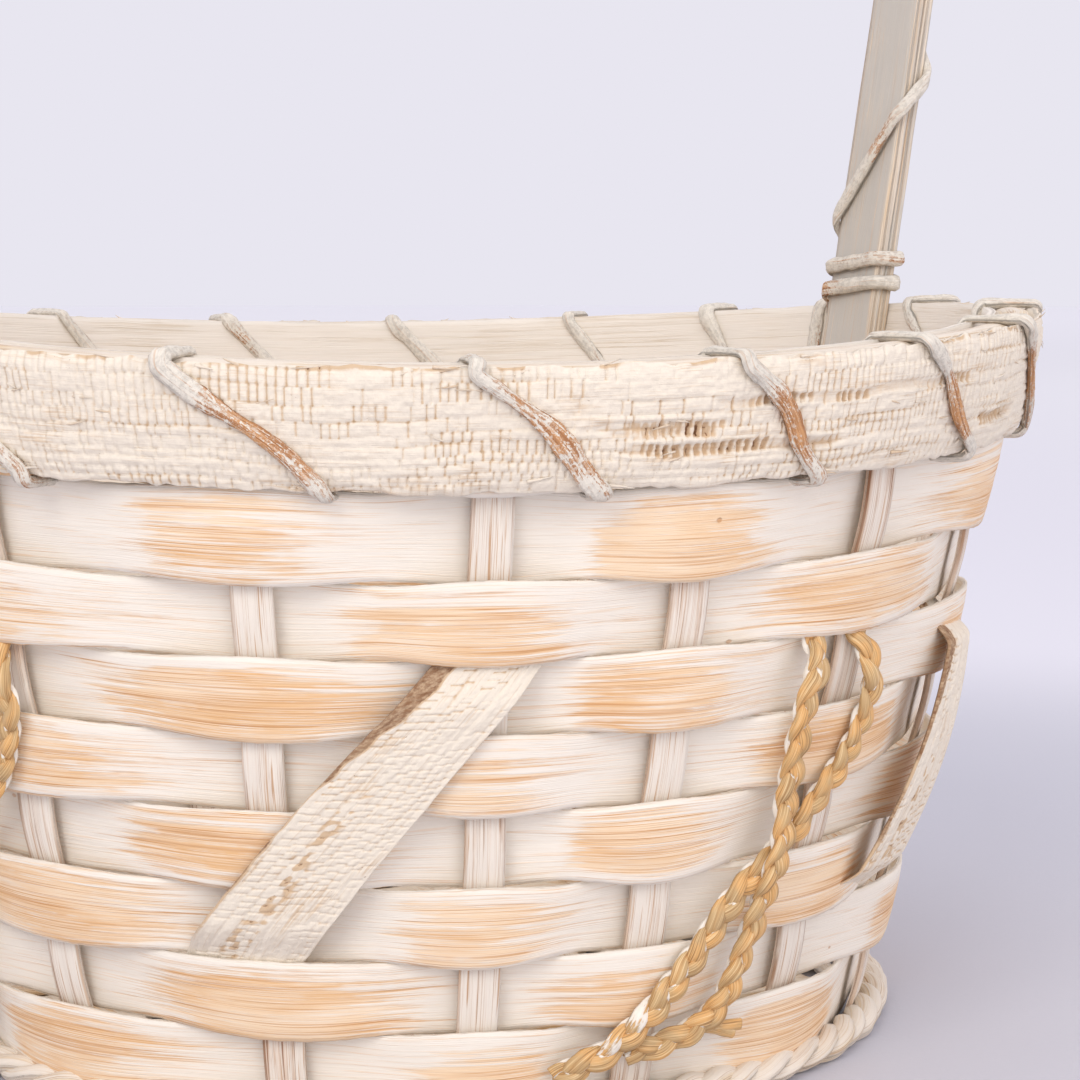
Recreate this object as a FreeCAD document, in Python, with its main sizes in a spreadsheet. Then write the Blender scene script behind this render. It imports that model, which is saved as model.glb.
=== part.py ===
import FreeCAD, Part
import math
import os
import Sketcher
from FreeCAD import Placement, Rotation, Vector

# Flower girl basket: a round tapered splint basket with a bark-banded rim, a fixed
# hoop handle, four slanting bark strips and four looped straw braids.
# Origin: middle of the flat underside.  +Z up, handle in the X-Z plane, millimetres.

doc = FreeCAD.newDocument("flower_girl_basket")
dims = doc.addObject("Spreadsheet::Sheet", "dims")

SIZES = [
    ("basket_height", 132.0, "rest plane to the mean top of the rim"),
    ("wall_radius_top", 116.0, "stake middle plane at the top of the rim"),
    ("wall_radius_bottom", 87.0, "stake middle plane at the rest plane"),
    ("stake_count", 16, "upright splints, even so that rows alternate"),
    ("stake_offset", 0.0, "degrees, first stake from +X"),
    ("stake_width", 7.0, "upright splint width"),
    ("stake_thickness", 1.6, "upright splint thickness"),
    ("stake_foot", 0.8, "height of the lower stake ends"),
    ("stake_top_gap", 3.6, "stake ends below the top of the rim"),
    ("crowding", 4.5, "degrees, hand-set unevenness of the stake spacing"),
    ("crowding_phase", 39.0, "degrees"),
    ("saddle_rise", 3.1, "rim rises and dips this much round the basket"),
    ("saddle_angle", -21.0, "degrees, direction of the high side"),
    ("weaver_count", 8, "woven rows below the rim"),
    ("weaver_pitch", 13.05, "row to row"),
    ("weaver_height", 12.5, "splint width of one row"),
    ("weaver_thickness", 1.1, "splint thickness of one row"),
    ("weaver_wave", 2.9, "in and out swing of a row round the stakes"),
    ("weaver_top", 108.6, "upper edge of the highest open row"),
    ("rim_row_bottom", 111.2, "lower edge of the row held inside the rim"),
    ("rim_height", 21.2, "height of the rim bands"),
    ("outer_band_gap", 3.75, "stake plane to the inside of the outer band"),
    ("outer_band_thickness", 2.2, "bark band"),
    ("inner_band_gap", 3.75, "stake plane to the inner band"),
    ("inner_band_thickness", 1.8, "smooth band"),
    ("band_round", 0.7, "rounded band edges"),
    ("filler_half_width", 3.2, "reed lying between the bands"),
    ("filler_height", 3.2, "reed height"),
    ("lash_width", 3.4, "vine round the rim"),
    ("lash_thickness", 1.5, "vine round the rim"),
    ("foot_outer_height", 4.4, "outer foot ring"),
    ("foot_outer_inside", 89.2, "outer foot ring inner radius"),
    ("foot_outer_outside", 93.4, "outer foot ring outer radius"),
    ("foot_inner_height", 3.9, "inner foot ring"),
    ("foot_inner_inside", 80.8, "inner foot ring inner radius"),
    ("foot_inner_outside", 85.2, "inner foot ring outer radius"),
    ("splint_count", 7, "base splints each way"),
    ("splint_width", 17.5, "base splint width"),
    ("splint_pitch", 23.0, "base splint spacing"),
    ("splint_thickness", 1.0, "base splint thickness"),
    ("splint_swing", 0.62, "over and under swing of a base splint"),
    ("base_radius", 83.4, "woven base fits inside the wall"),
    ("base_level", 5.25, "middle plane of the woven base"),
    ("handle_width", 16.0, "handle strip width"),
    ("handle_layer", 2.2, "thickness of one handle strip"),
    ("handle_gap", 0.1, "half the gap between the two handle strips"),
    ("handle_lean", 9.5, "degrees, legs lean outward"),
    ("handle_arch", 121.0, "radius of the handle arch"),
    ("handle_centre", 224.8, "height of the arch centre"),
    ("handle_foot", 108.0, "height of the handle ends"),
    ("vine_width", 3.2, "vine on the handle"),
    ("vine_thickness", 1.8, "vine on the handle"),
    ("coil_level", 136.6, "where the lower coil starts"),
    ("coil_tail", 9.0, "vine end running down the handle foot"),
    ("coil_pitch", 5.0, "one coil to the next"),
    ("spiral_turns", 8.6, "turns of the vine over the whole handle"),
    ("strip_width", 13.0, "slanting bark strip at its upper end"),
    ("strip_spread", 4.6, "extra width of the bark strip at its lower end"),
    ("strip_thickness", 1.2, "slanting bark strip"),
    ("trim_gap", 3.85, "stake plane to the underside of the trim"),
    ("braid_width", 4.8, "straw braid"),
    ("braid_thickness", 2.6, "straw braid"),
]
for row, (alias, value, note) in enumerate(SIZES, start=1):
    dims.set("A%d" % row, alias)
    dims.set("B%d" % row, "%g" % value)
    dims.set("C%d" % row, note)
    dims.setAlias("B%d" % row, alias)
doc.recompute()


def size(alias):
    return float(getattr(dims, alias))


TURN = 2.0 * math.pi
HEIGHT = size("basket_height")
STAKES = int(size("stake_count"))
WALL_LEAN = math.atan((size("wall_radius_top") - size("wall_radius_bottom")) / HEIGHT)
RIM_BOTTOM = HEIGHT - size("rim_height")


def placed_angle(index_angle):
    """Even stake spacing turned into the uneven spacing of the hand-set stakes."""
    shift = size("crowding") * math.cos(3.0 * index_angle + math.radians(size("crowding_phase")))
    return index_angle + math.radians(shift)


def stake_angle(number):
    return math.radians(size("stake_offset")) + TURN * number / STAKES


def wall_radius(level):
    top, bottom = size("wall_radius_top"), size("wall_radius_bottom")
    return bottom + (top - bottom) * level / HEIGHT


def lift(angle, level):
    """Saddle shape: rows nearer the rim rise and dip with it."""
    wave = math.cos(2.0 * (angle - math.radians(size("saddle_angle"))))
    return size("saddle_rise") * wave * (level / HEIGHT) ** 2


def wall_point(angle, offset, level):
    """Point on the basket wall, offset outward from the stake middle plane."""
    radius = wall_radius(level) + offset
    return Vector(radius * math.cos(angle), radius * math.sin(angle), level + lift(angle, level))


def on_wall(index_angle, offset, level):
    """Point on the wall at an evenly counted angle."""
    return wall_point(placed_angle(index_angle), offset, level)


def smooth_edge(points, closed):
    curve = Part.BSplineCurve()
    last = len(points) + 1 if closed else len(points)
    curve.interpolate(Points=points, PeriodicFlag=closed,
                      Parameters=[float(n) for n in range(last)])
    return curve.toShape()


def end_faces(section):
    """Close an end: one flat face, or flat triangles where the end is bowed."""
    loop = Part.makePolygon(list(section) + [section[0]])
    plane = Part.Plane(section[0], section[1], section[len(section) // 2])
    if max(abs(plane.toShape().distToShape(Part.Vertex(point))[0]) for point in section) < 1e-6:
        return [Part.Face(loop)]
    corners = len(section)
    faces = []
    for near in range(corners // 2 - 1):
        far = corners - 1 - near
        for points in ((near, near + 1, far - 1), (near, far - 1, far)):
            ring = [section[point] for point in points]
            faces.append(Part.Face(Part.makePolygon(ring + [ring[0]])))
    return faces


def solid_along(sections, closed):
    """Solid whose long edges run smoothly through the corners of the sections."""
    corners = len(sections[0])
    edges = [smooth_edge([section[c] for section in sections], closed) for c in range(corners)]
    faces = [Part.makeRuledSurface(edges[c], edges[(c + 1) % corners], 1) for c in range(corners)]
    if not closed:
        faces += end_faces(sections[0]) + end_faces(sections[-1])
    shell = Part.makeShell(faces)
    shell.sewShape()
    solid = Part.makeSolid(shell)
    solid.fix(1e-5, 1e-5, 1e-5)
    if solid.Volume < 0:
        solid.reverse()
    return solid


def add_shape(name, shape):
    piece = doc.addObject("Part::Feature", name)
    piece.Label = name
    piece.Shape = shape
    piece.Placement = Placement(Vector(0, 0, 0), Rotation())
    return piece


pieces = []

# --- upright stakes -------------------------------------------------------------
for number in range(STAKES):
    name = "stake_%02d" % (number + 1)
    angle = placed_angle(stake_angle(number))
    stake = doc.addObject("Part::Box", name)
    stake.Label = name
    stake.setExpression("Length", "dims.stake_thickness")
    stake.setExpression("Width", "dims.stake_width")
    rise = "dims.saddle_rise * cos(2 * (%.4f - dims.saddle_angle))" % math.degrees(angle)
    stake.setExpression("Height", "(dims.basket_height - dims.stake_top_gap - dims.stake_foot"
                                  " + %s) / %.6f" % (rise, math.cos(WALL_LEAN)))
    turned = Rotation(Vector(0, 0, 1), math.degrees(angle))
    leaned = Rotation(Vector(0, 1, 0), math.degrees(WALL_LEAN))
    foot = Placement(Vector(wall_radius(size("stake_foot")), 0, size("stake_foot")), leaned)
    corner = Placement(Vector(-size("stake_thickness") / 2, -size("stake_width") / 2, 0), Rotation())
    stake.Placement = Placement(Vector(0, 0, 0), turned).multiply(foot).multiply(corner)
    pieces.append(stake)

# --- woven rows: closed splint hoops swinging in and out of the stakes -------------
STEPS = 6 * STAKES


def woven_row(bottom, first_side):
    top = bottom + size("weaver_height")
    half = size("weaver_thickness") / 2
    sections = []
    for step in range(STEPS):
        index_angle = TURN * step / STEPS
        swing = math.cos(STAKES / 2 * (index_angle - stake_angle(0)))
        middle = first_side * size("weaver_wave") * swing
        sections.append([on_wall(index_angle, middle + half, bottom),
                         on_wall(index_angle, middle + half, top),
                         on_wall(index_angle, middle - half, top),
                         on_wall(index_angle, middle - half, bottom)])
    return solid_along(sections, True)


for row in range(int(size("weaver_count"))):
    bottom = size("weaver_top") - size("weaver_height") - row * size("weaver_pitch")
    side = 1 if row % 2 == 0 else -1
    pieces.append(add_shape("weaver_row_%02d" % (row + 1), woven_row(bottom, side)))
pieces.append(add_shape("weaver_row_rim", woven_row(size("rim_row_bottom"), -1)))


# --- rim: two bands with a reed between them --------------------------------------
def rim_hoop(near, far, bottom, top):
    """Hoop with rounded edges between two offsets from the stake plane."""
    cut = size("band_round")
    outline = [(far - cut, bottom), (far, bottom + 2 * cut), (far, top - 2 * cut), (far - cut, top),
               (near + cut, top), (near, top - 2 * cut), (near, bottom + 2 * cut),
               (near + cut, bottom)]
    sections = []
    for step in range(STEPS):
        index_angle = TURN * step / STEPS
        sections.append([on_wall(index_angle, offset, level) for offset, level in outline])
    return solid_along(sections, True)


outer_near = size("outer_band_gap")
outer_far = outer_near + size("outer_band_thickness")
inner_far = -size("inner_band_gap")
inner_near = inner_far - size("inner_band_thickness")
pieces.append(add_shape("rim_outer_band", rim_hoop(outer_near, outer_far, RIM_BOTTOM, HEIGHT)))
pieces.append(add_shape("rim_inner_band", rim_hoop(inner_near, inner_far, RIM_BOTTOM, HEIGHT)))
pieces.append(add_shape("rim_filler", rim_hoop(-size("filler_half_width"), size("filler_half_width"),
                                               HEIGHT - size("filler_height"), HEIGHT)))


# --- rim lashing: one long vine wound by hand in uneven slanting turns ---------------
# Each turn starts down the outer band at the first angle and passes under the rim at the
# second, in degrees.  The turns keep clear of the handle feet and of the stakes.
LASH_TURNS = [
    (8.2, 17.0), (25.2, 34.3), (43.1, 54.0), (64.5, 74.8), (84.4, 97.5), (106.1, 121.2),
    (128.5, 139.8), (150.5, 161.8), (172.5, 188.0), (199.0, 211.7), (224.9, 236.6),
    (247.7, 257.6), (268.4, 276.9), (287.1, 297.6), (305.5, 318.5), (330.0, 337.0),
    (352.5, 368.0),
]


def lash_top(turn):
    """Angle where a turn crosses the rim top, running on past a full circle."""
    return math.radians(LASH_TURNS[turn % len(LASH_TURNS)][0]) + TURN * (turn // len(LASH_TURNS))


def lash_bottom(turn):
    """Angle where a turn passes under the rim."""
    return math.radians(LASH_TURNS[turn % len(LASH_TURNS)][1]) + TURN * (turn // len(LASH_TURNS))


def lash_path(progress):
    """Angle, offset and level of the vine middle, progress counted in turns."""
    turn = math.floor(progress)
    part = progress - turn
    clear = 0.35 + size("lash_thickness") / 2
    out, inside = outer_far + clear, inner_near - clear
    high, low = HEIGHT + clear, RIM_BOTTOM - clear
    if part < 0.40:
        run = part / 0.40
        angle = lash_top(turn) + (lash_bottom(turn) - lash_top(turn)) * run
        return angle, out, high + (low - high) * run
    if part < 0.50:
        run = (part - 0.40) / 0.10
        return lash_bottom(turn), out + (inside - out) * run, low
    if part < 0.90:
        run = (part - 0.50) / 0.40
        angle = lash_bottom(turn) + (lash_top(turn + 1) - lash_bottom(turn)) * run
        return angle, inside, low + (high - low) * run
    run = (part - 0.90) / 0.10
    return lash_top(turn + 1), inside + (out - inside) * run, high


def lash_point(progress):
    """Vine middle with its corners eased so that it bends round the rim edges."""
    spread = 0.022
    total = Vector(0, 0, 0)
    for nudge in (-spread, 0.0, spread):
        total = total + wall_point(*lash_path(progress + nudge))
    return total.multiply(1.0 / 3.0)


def rim_heart(progress):
    angle, offset, level = lash_path(progress)
    middle = (RIM_BOTTOM + HEIGHT) / 2
    reach = max(-1.0, min(1.0, (level - middle) / 9.0))
    return wall_point(angle, 0.0, middle + 6.0 * reach)


def ribbon_section(middle, ahead, outward, width, thickness):
    """Flat section with eight corners: narrow sides and crowned faces."""
    along = Vector(ahead)
    along.normalize()
    across = along.cross(outward)
    across.normalize()
    up = across.cross(along)
    shape = [(-0.5, -0.18), (-0.5, 0.18), (-0.22, 0.5), (0.22, 0.5), (0.5, 0.18), (0.5, -0.18),
             (0.22, -0.5), (-0.22, -0.5)]
    return [middle + across * (a * width) + up * (b * thickness) for a, b in shape]


LASH_STEPS = 28
lash_sections = []
for step in range(LASH_STEPS * len(LASH_TURNS)):
    progress = step / LASH_STEPS
    here = lash_point(progress)
    ahead = lash_point(progress + 0.02) - lash_point(progress - 0.02)
    lash_sections.append(ribbon_section(here, ahead, here - rim_heart(progress),
                                        size("lash_width"), size("lash_thickness")))
pieces.append(add_shape("rim_lashing", solid_along(lash_sections, True)))


# --- foot rings --------------------------------------------------------------------
def foot_ring(name, inside, outside, height):
    body = doc.addObject("PartDesign::Body", name)
    body.Label = name
    profile = body.newObject("Sketcher::SketchObject", name + "_profile")
    profile.AttachmentSupport = (body.Origin.OriginFeatures[4], [""])
    profile.MapMode = "FlatFace"
    near, far, tall = size(inside), size(outside), size(height)
    corner = [Vector(near, 0, 0), Vector(far, 0, 0), Vector(far, tall, 0), Vector(near, tall, 0)]
    for side in range(4):
        profile.addGeometry(Part.LineSegment(corner[side], corner[(side + 1) % 4]), False)
    for side in range(4):
        profile.addConstraint(Sketcher.Constraint("Coincident", side, 2, (side + 1) % 4, 1))
    profile.addConstraint(Sketcher.Constraint("Horizontal", 0))
    profile.addConstraint(Sketcher.Constraint("Vertical", 1))
    profile.addConstraint(Sketcher.Constraint("Horizontal", 2))
    profile.addConstraint(Sketcher.Constraint("Vertical", 3))
    profile.addConstraint(Sketcher.Constraint("PointOnObject", 0, 1, -1))
    for label, first, second, value in (("inside", 0, 1, inside), ("outside", 0, 2, outside)):
        number = profile.addConstraint(Sketcher.Constraint("DistanceX", -1, 1, first, second,
                                                           size(value)))
        profile.renameConstraint(number, label)
        profile.setExpression("Constraints." + label, "dims." + value)
    number = profile.addConstraint(Sketcher.Constraint("DistanceY", 1, 1, 1, 2, tall))
    profile.renameConstraint(number, "tall")
    profile.setExpression("Constraints.tall", "dims." + height)
    turn = body.newObject("PartDesign::Revolution", name + "_turn")
    turn.Profile = profile
    turn.ReferenceAxis = (profile, ["V_Axis"])
    turn.Angle = 360
    body.Tip = turn
    body.Placement = Placement(Vector(0, 0, 0), Rotation())
    return body


pieces.append(foot_ring("foot_ring_outer", "foot_outer_inside", "foot_outer_outside",
                        "foot_outer_height"))
pieces.append(foot_ring("foot_ring_inner", "foot_inner_inside", "foot_inner_outside",
                        "foot_inner_height"))


# --- woven base ----------------------------------------------------------------------
def base_splint(place, first_side):
    """One splint along X: level over each crossing, stepping between crossings."""
    count = int(size("splint_count"))
    pitch, width = size("splint_pitch"), size("splint_width")
    thick, swing = size("splint_thickness"), size("splint_swing")
    side_reach = abs(place) + width / 2
    end = math.sqrt(size("base_radius") ** 2 - side_reach ** 2)
    line = []
    for crossing in range(count):
        middle = (crossing - (count - 1) / 2) * pitch
        level = swing * first_side * (1 if crossing % 2 == 0 else -1)
        line.append((middle - width / 2 - 0.6, level))
        line.append((middle + width / 2 + 0.6, level))
    line = [(x, z) for x, z in line if -end < x < end]
    line = [(-end, line[0][1])] + line + [(end, line[-1][1])]
    upper = [Vector(x, -width / 2, z + thick / 2) for x, z in line]
    lower = [Vector(x, -width / 2, z - thick / 2) for x, z in reversed(line)]
    outline = Part.Face(Part.makePolygon(upper + lower + [upper[0]]))
    return outline.extrude(Vector(0, width, 0))


for way, turn in (("x", 0.0), ("y", 90.0)):
    for number in range(int(size("splint_count"))):
        place = (number - (size("splint_count") - 1) / 2) * size("splint_pitch")
        side = 1 if number % 2 == 0 else -1
        if way == "y":
            side = -side
        name = "base_splint_%s%d" % (way, number + 1)
        splint = add_shape(name, base_splint(place, side))
        across = Placement(Vector(0, place, size("base_level")), Rotation())
        splint.Placement = Placement(Vector(0, 0, 0), Rotation(Vector(0, 0, 1), turn)).multiply(across)
        pieces.append(splint)


# --- handle: two bent strips laid together ---------------------------------------------
LEAN = math.radians(size("handle_lean"))


def handle_strip(name, near, far):
    """Hoop outline between two offsets from the middle line, padded to the strip width."""
    body = doc.addObject("PartDesign::Body", name)
    body.Label = name
    outline = body.newObject("Sketcher::SketchObject", name + "_outline")
    outline.AttachmentSupport = (body.Origin.OriginFeatures[4], [""])
    outline.MapMode = "FlatFace"
    centre = Vector(0, size("handle_centre"), 0)
    foot_run = (centre.y - size("handle_foot")) / math.cos(LEAN) - size("handle_arch") * math.tan(LEAN)

    def arch_end(radius, side):
        return centre + Vector(side * radius * math.cos(LEAN), -radius * math.sin(LEAN), 0)

    def leg_foot(radius, side):
        along = Vector(-side * math.sin(LEAN), -math.cos(LEAN), 0)
        return arch_end(radius, side) + along * foot_run

    radii = [size("handle_arch") + near, size("handle_arch") + far]
    for radius in radii:
        circle = Part.Circle(centre, Vector(0, 0, 1), radius)
        outline.addGeometry(Part.ArcOfCircle(circle, -LEAN, math.pi + LEAN), False)
    for side in (1, -1):
        for radius in radii:
            outline.addGeometry(Part.LineSegment(arch_end(radius, side), leg_foot(radius, side)), False)
        outline.addGeometry(Part.LineSegment(leg_foot(radii[0], side), leg_foot(radii[1], side)), False)
    add = outline.addConstraint
    for arc, right, left in ((0, 2, 5), (1, 3, 6)):
        add(Sketcher.Constraint("Tangent", arc, 1, right, 1))
        add(Sketcher.Constraint("Tangent", arc, 2, left, 1))
    for inner, outer, foot in ((2, 3, 4), (5, 6, 7)):
        add(Sketcher.Constraint("Coincident", inner, 2, foot, 1))
        add(Sketcher.Constraint("Coincident", outer, 2, foot, 2))
    add(Sketcher.Constraint("Coincident", 0, 3, 1, 3))
    add(Sketcher.Constraint("PointOnObject", 0, 3, -2))
    named = [("rise", Sketcher.Constraint("DistanceY", -1, 1, 0, 3, centre.y), "dims.handle_centre"),
             ("near", Sketcher.Constraint("Radius", 0, radii[0]), "dims.handle_arch + %g" % near),
             ("far", Sketcher.Constraint("Radius", 1, radii[1]), "dims.handle_arch + %g" % far)]
    for label, constraint, rule in named:
        outline.renameConstraint(add(constraint), label)
        outline.setExpression("Constraints." + label, rule)
    pad = body.newObject("PartDesign::Pad", name + "_pad")
    pad.Profile = outline
    pad.setExpression("Length", "dims.handle_width")
    pad.Midplane = True
    body.Tip = pad
    body.Placement = Placement(Vector(0, 0, 0), Rotation())
    return body


gap, layer = size("handle_gap"), size("handle_layer")
pieces.append(handle_strip("handle_inner_strip", -gap - layer, -gap))
pieces.append(handle_strip("handle_outer_strip", gap, gap + layer))


# --- vine on the handle ------------------------------------------------------------------
def handle_line(run):
    """Middle line of the handle by length from the right foot: point, direction, outward."""
    arch = size("handle_arch")
    leg = (size("handle_centre") - size("handle_foot")) / math.cos(LEAN) - arch * math.tan(LEAN)
    bend = arch * (math.pi + 2 * LEAN)
    centre = Vector(0, 0, size("handle_centre"))

    def radial(angle):
        return Vector(math.cos(angle), 0, math.sin(angle))

    if run < leg:
        outward = radial(-LEAN)
        ahead = Vector(math.sin(LEAN), 0, math.cos(LEAN))
        return centre + outward * arch - ahead * (leg - run), ahead, outward
    if run < leg + bend:
        angle = (run - leg) / arch - LEAN
        outward = radial(angle)
        return centre + outward * arch, Vector(-math.sin(angle), 0, math.cos(angle)), outward
    outward = radial(math.pi + LEAN)
    ahead = Vector(math.sin(LEAN), 0, -math.cos(LEAN))
    return centre + outward * arch + ahead * (run - leg - bend), ahead, outward


HANDLE_LEG = ((size("handle_centre") - size("handle_foot")) / math.cos(LEAN)
              - size("handle_arch") * math.tan(LEAN))
HANDLE_RUN = 2 * HANDLE_LEG + size("handle_arch") * (math.pi + 2 * LEAN)


def round_corner_walk(wide, deep, corner, turns):
    """Point and outward direction after some turns of a rounded rectangle."""
    flat_side, flat_face, bend = 2 * (deep - corner), 2 * (wide - corner), corner * math.pi / 2
    walk = (turns % 1.0) * 2 * (flat_side + flat_face + 2 * bend) + flat_side / 2
    x, y, heading = wide, -(deep - corner), 0.0
    for length in (flat_side, flat_face, flat_side, flat_face, flat_side):
        straight = min(walk, length)
        x -= math.sin(heading) * straight
        y += math.cos(heading) * straight
        walk -= straight
        if walk <= 0:
            break
        swing = min(walk, bend) / corner
        hub = (x - corner * math.cos(heading), y - corner * math.sin(heading))
        heading += swing
        x, y = hub[0] + corner * math.cos(heading), hub[1] + corner * math.sin(heading)
        walk -= swing * corner
        if walk <= 0:
            break
    return x, y, heading


def vine_section(run, turns):
    """Vine middle and its outward direction on the way round the two handle strips."""
    point, ahead, outward = handle_line(run)
    sideways = outward.cross(ahead)
    clear = 0.45 + size("vine_thickness") / 2
    wide, deep = size("handle_width") / 2 + clear, gap + layer + clear
    x, y, heading = round_corner_walk(wide, deep, 2.4, turns)
    return (point + sideways * x + outward * y,
            sideways * math.cos(heading) + outward * math.sin(heading))


def vine_solid(course, steps):
    """Vine through (length along the handle, turns round it) stations."""
    path = []
    for (run_from, turns_from), (run_to, turns_to) in zip(course, course[1:]):
        share = max(4, round(steps * abs(turns_to - turns_from)))
        for step in range(share):
            part = step / share
            path.append(vine_section(run_from + (run_to - run_from) * part,
                                     turns_from + (turns_to - turns_from) * part))
    path.append(vine_section(*course[-1]))
    sections = []
    for step, (middle, facing) in enumerate(path):
        before, after = path[max(step - 1, 0)][0], path[min(step + 1, len(path) - 1)][0]
        sections.append(ribbon_section(middle, after - before, facing,
                                       size("vine_width"), size("vine_thickness")))
    return solid_along(sections, False)


coil_run = (size("coil_level") - size("handle_foot")) / math.cos(LEAN)
coil_end = coil_run + 1.7 * size("coil_pitch")
tail_run = coil_run - size("coil_tail")
right_coil = [(tail_run, 0.5), (coil_run - 1.5, 0.5), (coil_run, 0.56), (coil_end, 2.26)]
left_coil = [(HANDLE_RUN - coil_end, 0.24), (HANDLE_RUN - coil_run, 1.94),
             (HANDLE_RUN - coil_run + 1.5, 2.0), (HANDLE_RUN - tail_run, 2.0)]
pieces.append(add_shape("handle_coil_right", vine_solid(right_coil, 36)))
pieces.append(add_shape("handle_coil_left", vine_solid(left_coil, 36)))
spiral = [(coil_end + 2.5, 0.5), (HANDLE_RUN - coil_end - 6.5, 0.5 + size("spiral_turns"))]
pieces.append(add_shape("handle_spiral", vine_solid(spiral, 32)))


# --- slanting bark strips and looped braids -------------------------------------------------
def row_edge(row):
    """Lower edge level of an open row counted from the top."""
    return size("weaver_top") - size("weaver_height") - (row - 1) * size("weaver_pitch")


# Upper end in stakes counted round, spacings back to the lower end, bulge off the wall.
BARK_STRIPS = [(3.0, 1.16, 0.0), (7.0, 1.16, 0.0), (11.0, 1.16, 0.0), (13.88, 0.47, 3.0)]


def bark_strip(upper, back, bulge):
    """Strip slanting over the open rows from the edge of row 2 to the edge of row 7."""
    high, low = row_edge(2) - 0.3, row_edge(6) - 0.3
    start = placed_angle(stake_angle(upper))
    finish = placed_angle(stake_angle(upper - back))
    mean = wall_radius((high + low) / 2)
    stretch = math.hypot((start - finish) * mean, high - low) / (high - low)
    sections = []
    for step in range(17):
        level = high + (low - high) * step / 16.0
        angle = start + (finish - start) * step / 16.0
        half = (size("strip_width") + size("strip_spread") * step / 16.0) * stretch / 2 / mean
        near = size("trim_gap") + bulge * math.sin(math.pi * step / 16.0)
        far = near + size("strip_thickness")
        across = [angle - half, angle - half / 3, angle + half / 3, angle + half]
        sections.append([wall_point(place, near, level) for place in across]
                        + [wall_point(place, far, level) for place in reversed(across)])
    return solid_along(sections, False)


# Braid course: angle in stake spacings, rows below the rim, and lift off the wall.
BRAID_COURSE = [
    (-1.43, 7.48, 0.0), (-1.22, 7.24, 0.0), (-1.00, 6.82, 0.0), (-0.79, 6.20, 0.0),
    (-0.58, 5.42, 0.0), (-0.37, 4.88, 0.0), (-0.17, 4.24, 0.0), (-0.02, 3.62, 0.0),
    (0.05, 2.92, 0.0), (0.02, 2.40, 0.0), (-0.12, 2.14, 0.0), (-0.26, 2.40, 0.0),
    (-0.34, 2.85, 0.0), (-0.36, 3.60, 0.0), (-0.36, 4.10, 0.5), (-0.36, 4.50, 3.0),
    (-0.37, 4.86, 3.6), (-0.39, 5.22, 3.0), (-0.40, 5.60, 0.5), (-0.43, 6.00, 0.0),
    (-0.49, 6.52, 0.0), (-0.59, 7.00, 0.0), (-0.78, 7.24, 0.0), (-1.00, 7.34, 0.0),
]


def braid_loop(first_stake):
    middles = []
    for spacing, row, lifted in BRAID_COURSE:
        index_angle = stake_angle(first_stake) + TURN / STAKES * spacing
        level = size("weaver_top") - row * size("weaver_pitch")
        offset = size("trim_gap") + size("braid_thickness") / 2 + lifted
        middles.append(on_wall(index_angle, offset, level))
    course = Part.BSplineCurve()
    course.interpolate(Points=middles)
    first, last = course.FirstParameter, course.LastParameter
    sections = []
    for step in range(97):
        at = first + (last - first) * step / 96.0
        middle, ahead = course.value(at), course.tangent(at)[0]
        outward = Vector(middle.x, middle.y, -middle.Length * math.sin(WALL_LEAN) / 2)
        sections.append(ribbon_section(middle, ahead, outward, size("braid_width"),
                                       size("braid_thickness")))
    return solid_along(sections, False)


for number, (upper, back, bulge) in enumerate(BARK_STRIPS, start=1):
    pieces.append(add_shape("bark_strip_%d" % number, bark_strip(upper, back, bulge)))
for number in range(4):
    first_stake = 5 + 4 * number
    pieces.append(add_shape("braid_loop_%d" % (number + 1), braid_loop(first_stake)))

# --- check and write -----------------------------------------------------------------------
doc.recompute()
for item in doc.Objects:
    if "Invalid" in item.State or "Error" in item.State:
        raise RuntimeError("%s did not recompute: %s" % (item.Name, item.State))
os.makedirs("parts", exist_ok=True)
for piece in pieces:
    if piece.Shape.isNull() or not piece.Shape.isValid():
        raise RuntimeError("%s has no valid shape" % piece.Label)
    piece.Shape.exportStep("parts/%s.step" % piece.Label)
print("%d pieces written" % len(pieces))
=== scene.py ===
import math

import bpy
import numpy as np
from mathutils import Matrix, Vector


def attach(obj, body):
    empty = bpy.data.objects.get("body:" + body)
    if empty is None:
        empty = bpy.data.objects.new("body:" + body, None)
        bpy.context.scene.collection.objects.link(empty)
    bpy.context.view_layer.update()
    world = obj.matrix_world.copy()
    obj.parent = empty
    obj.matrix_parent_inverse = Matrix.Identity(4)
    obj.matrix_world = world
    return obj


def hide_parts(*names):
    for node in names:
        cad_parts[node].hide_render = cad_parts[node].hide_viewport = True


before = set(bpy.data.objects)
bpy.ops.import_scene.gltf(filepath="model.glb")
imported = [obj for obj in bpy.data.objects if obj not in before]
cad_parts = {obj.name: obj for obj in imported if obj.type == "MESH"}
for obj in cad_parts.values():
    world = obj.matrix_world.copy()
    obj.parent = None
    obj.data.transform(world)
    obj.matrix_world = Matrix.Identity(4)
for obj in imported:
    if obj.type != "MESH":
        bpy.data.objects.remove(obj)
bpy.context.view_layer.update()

# Flower girl basket.  Lengths in this script are millimetres until a mesh is made.
MM = 0.001
TURN = 2 * math.pi
HEIGHT, RIM_BOTTOM = 132.0, 110.8
STAKES = 16
PITCH, ROW_TOP, ROW_HEIGHT = 13.05, 108.6, 12.5
BAND_MIDDLE, BAND_HALF = (RIM_BOTTOM + HEIGHT) / 2, (HEIGHT - RIM_BOTTOM) / 2
CROSSING = 23.0          # spacing of the splints of the bottom
SWING = 2.62             # how far a row swings in and out past the stakes


# --- shape of the wall, the same rules as the frame ---
def placed(u):
    return u + np.radians(4.5 * np.cos(3 * u + math.radians(39)))


def stake_u(n):
    return TURN * n / STAKES


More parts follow.
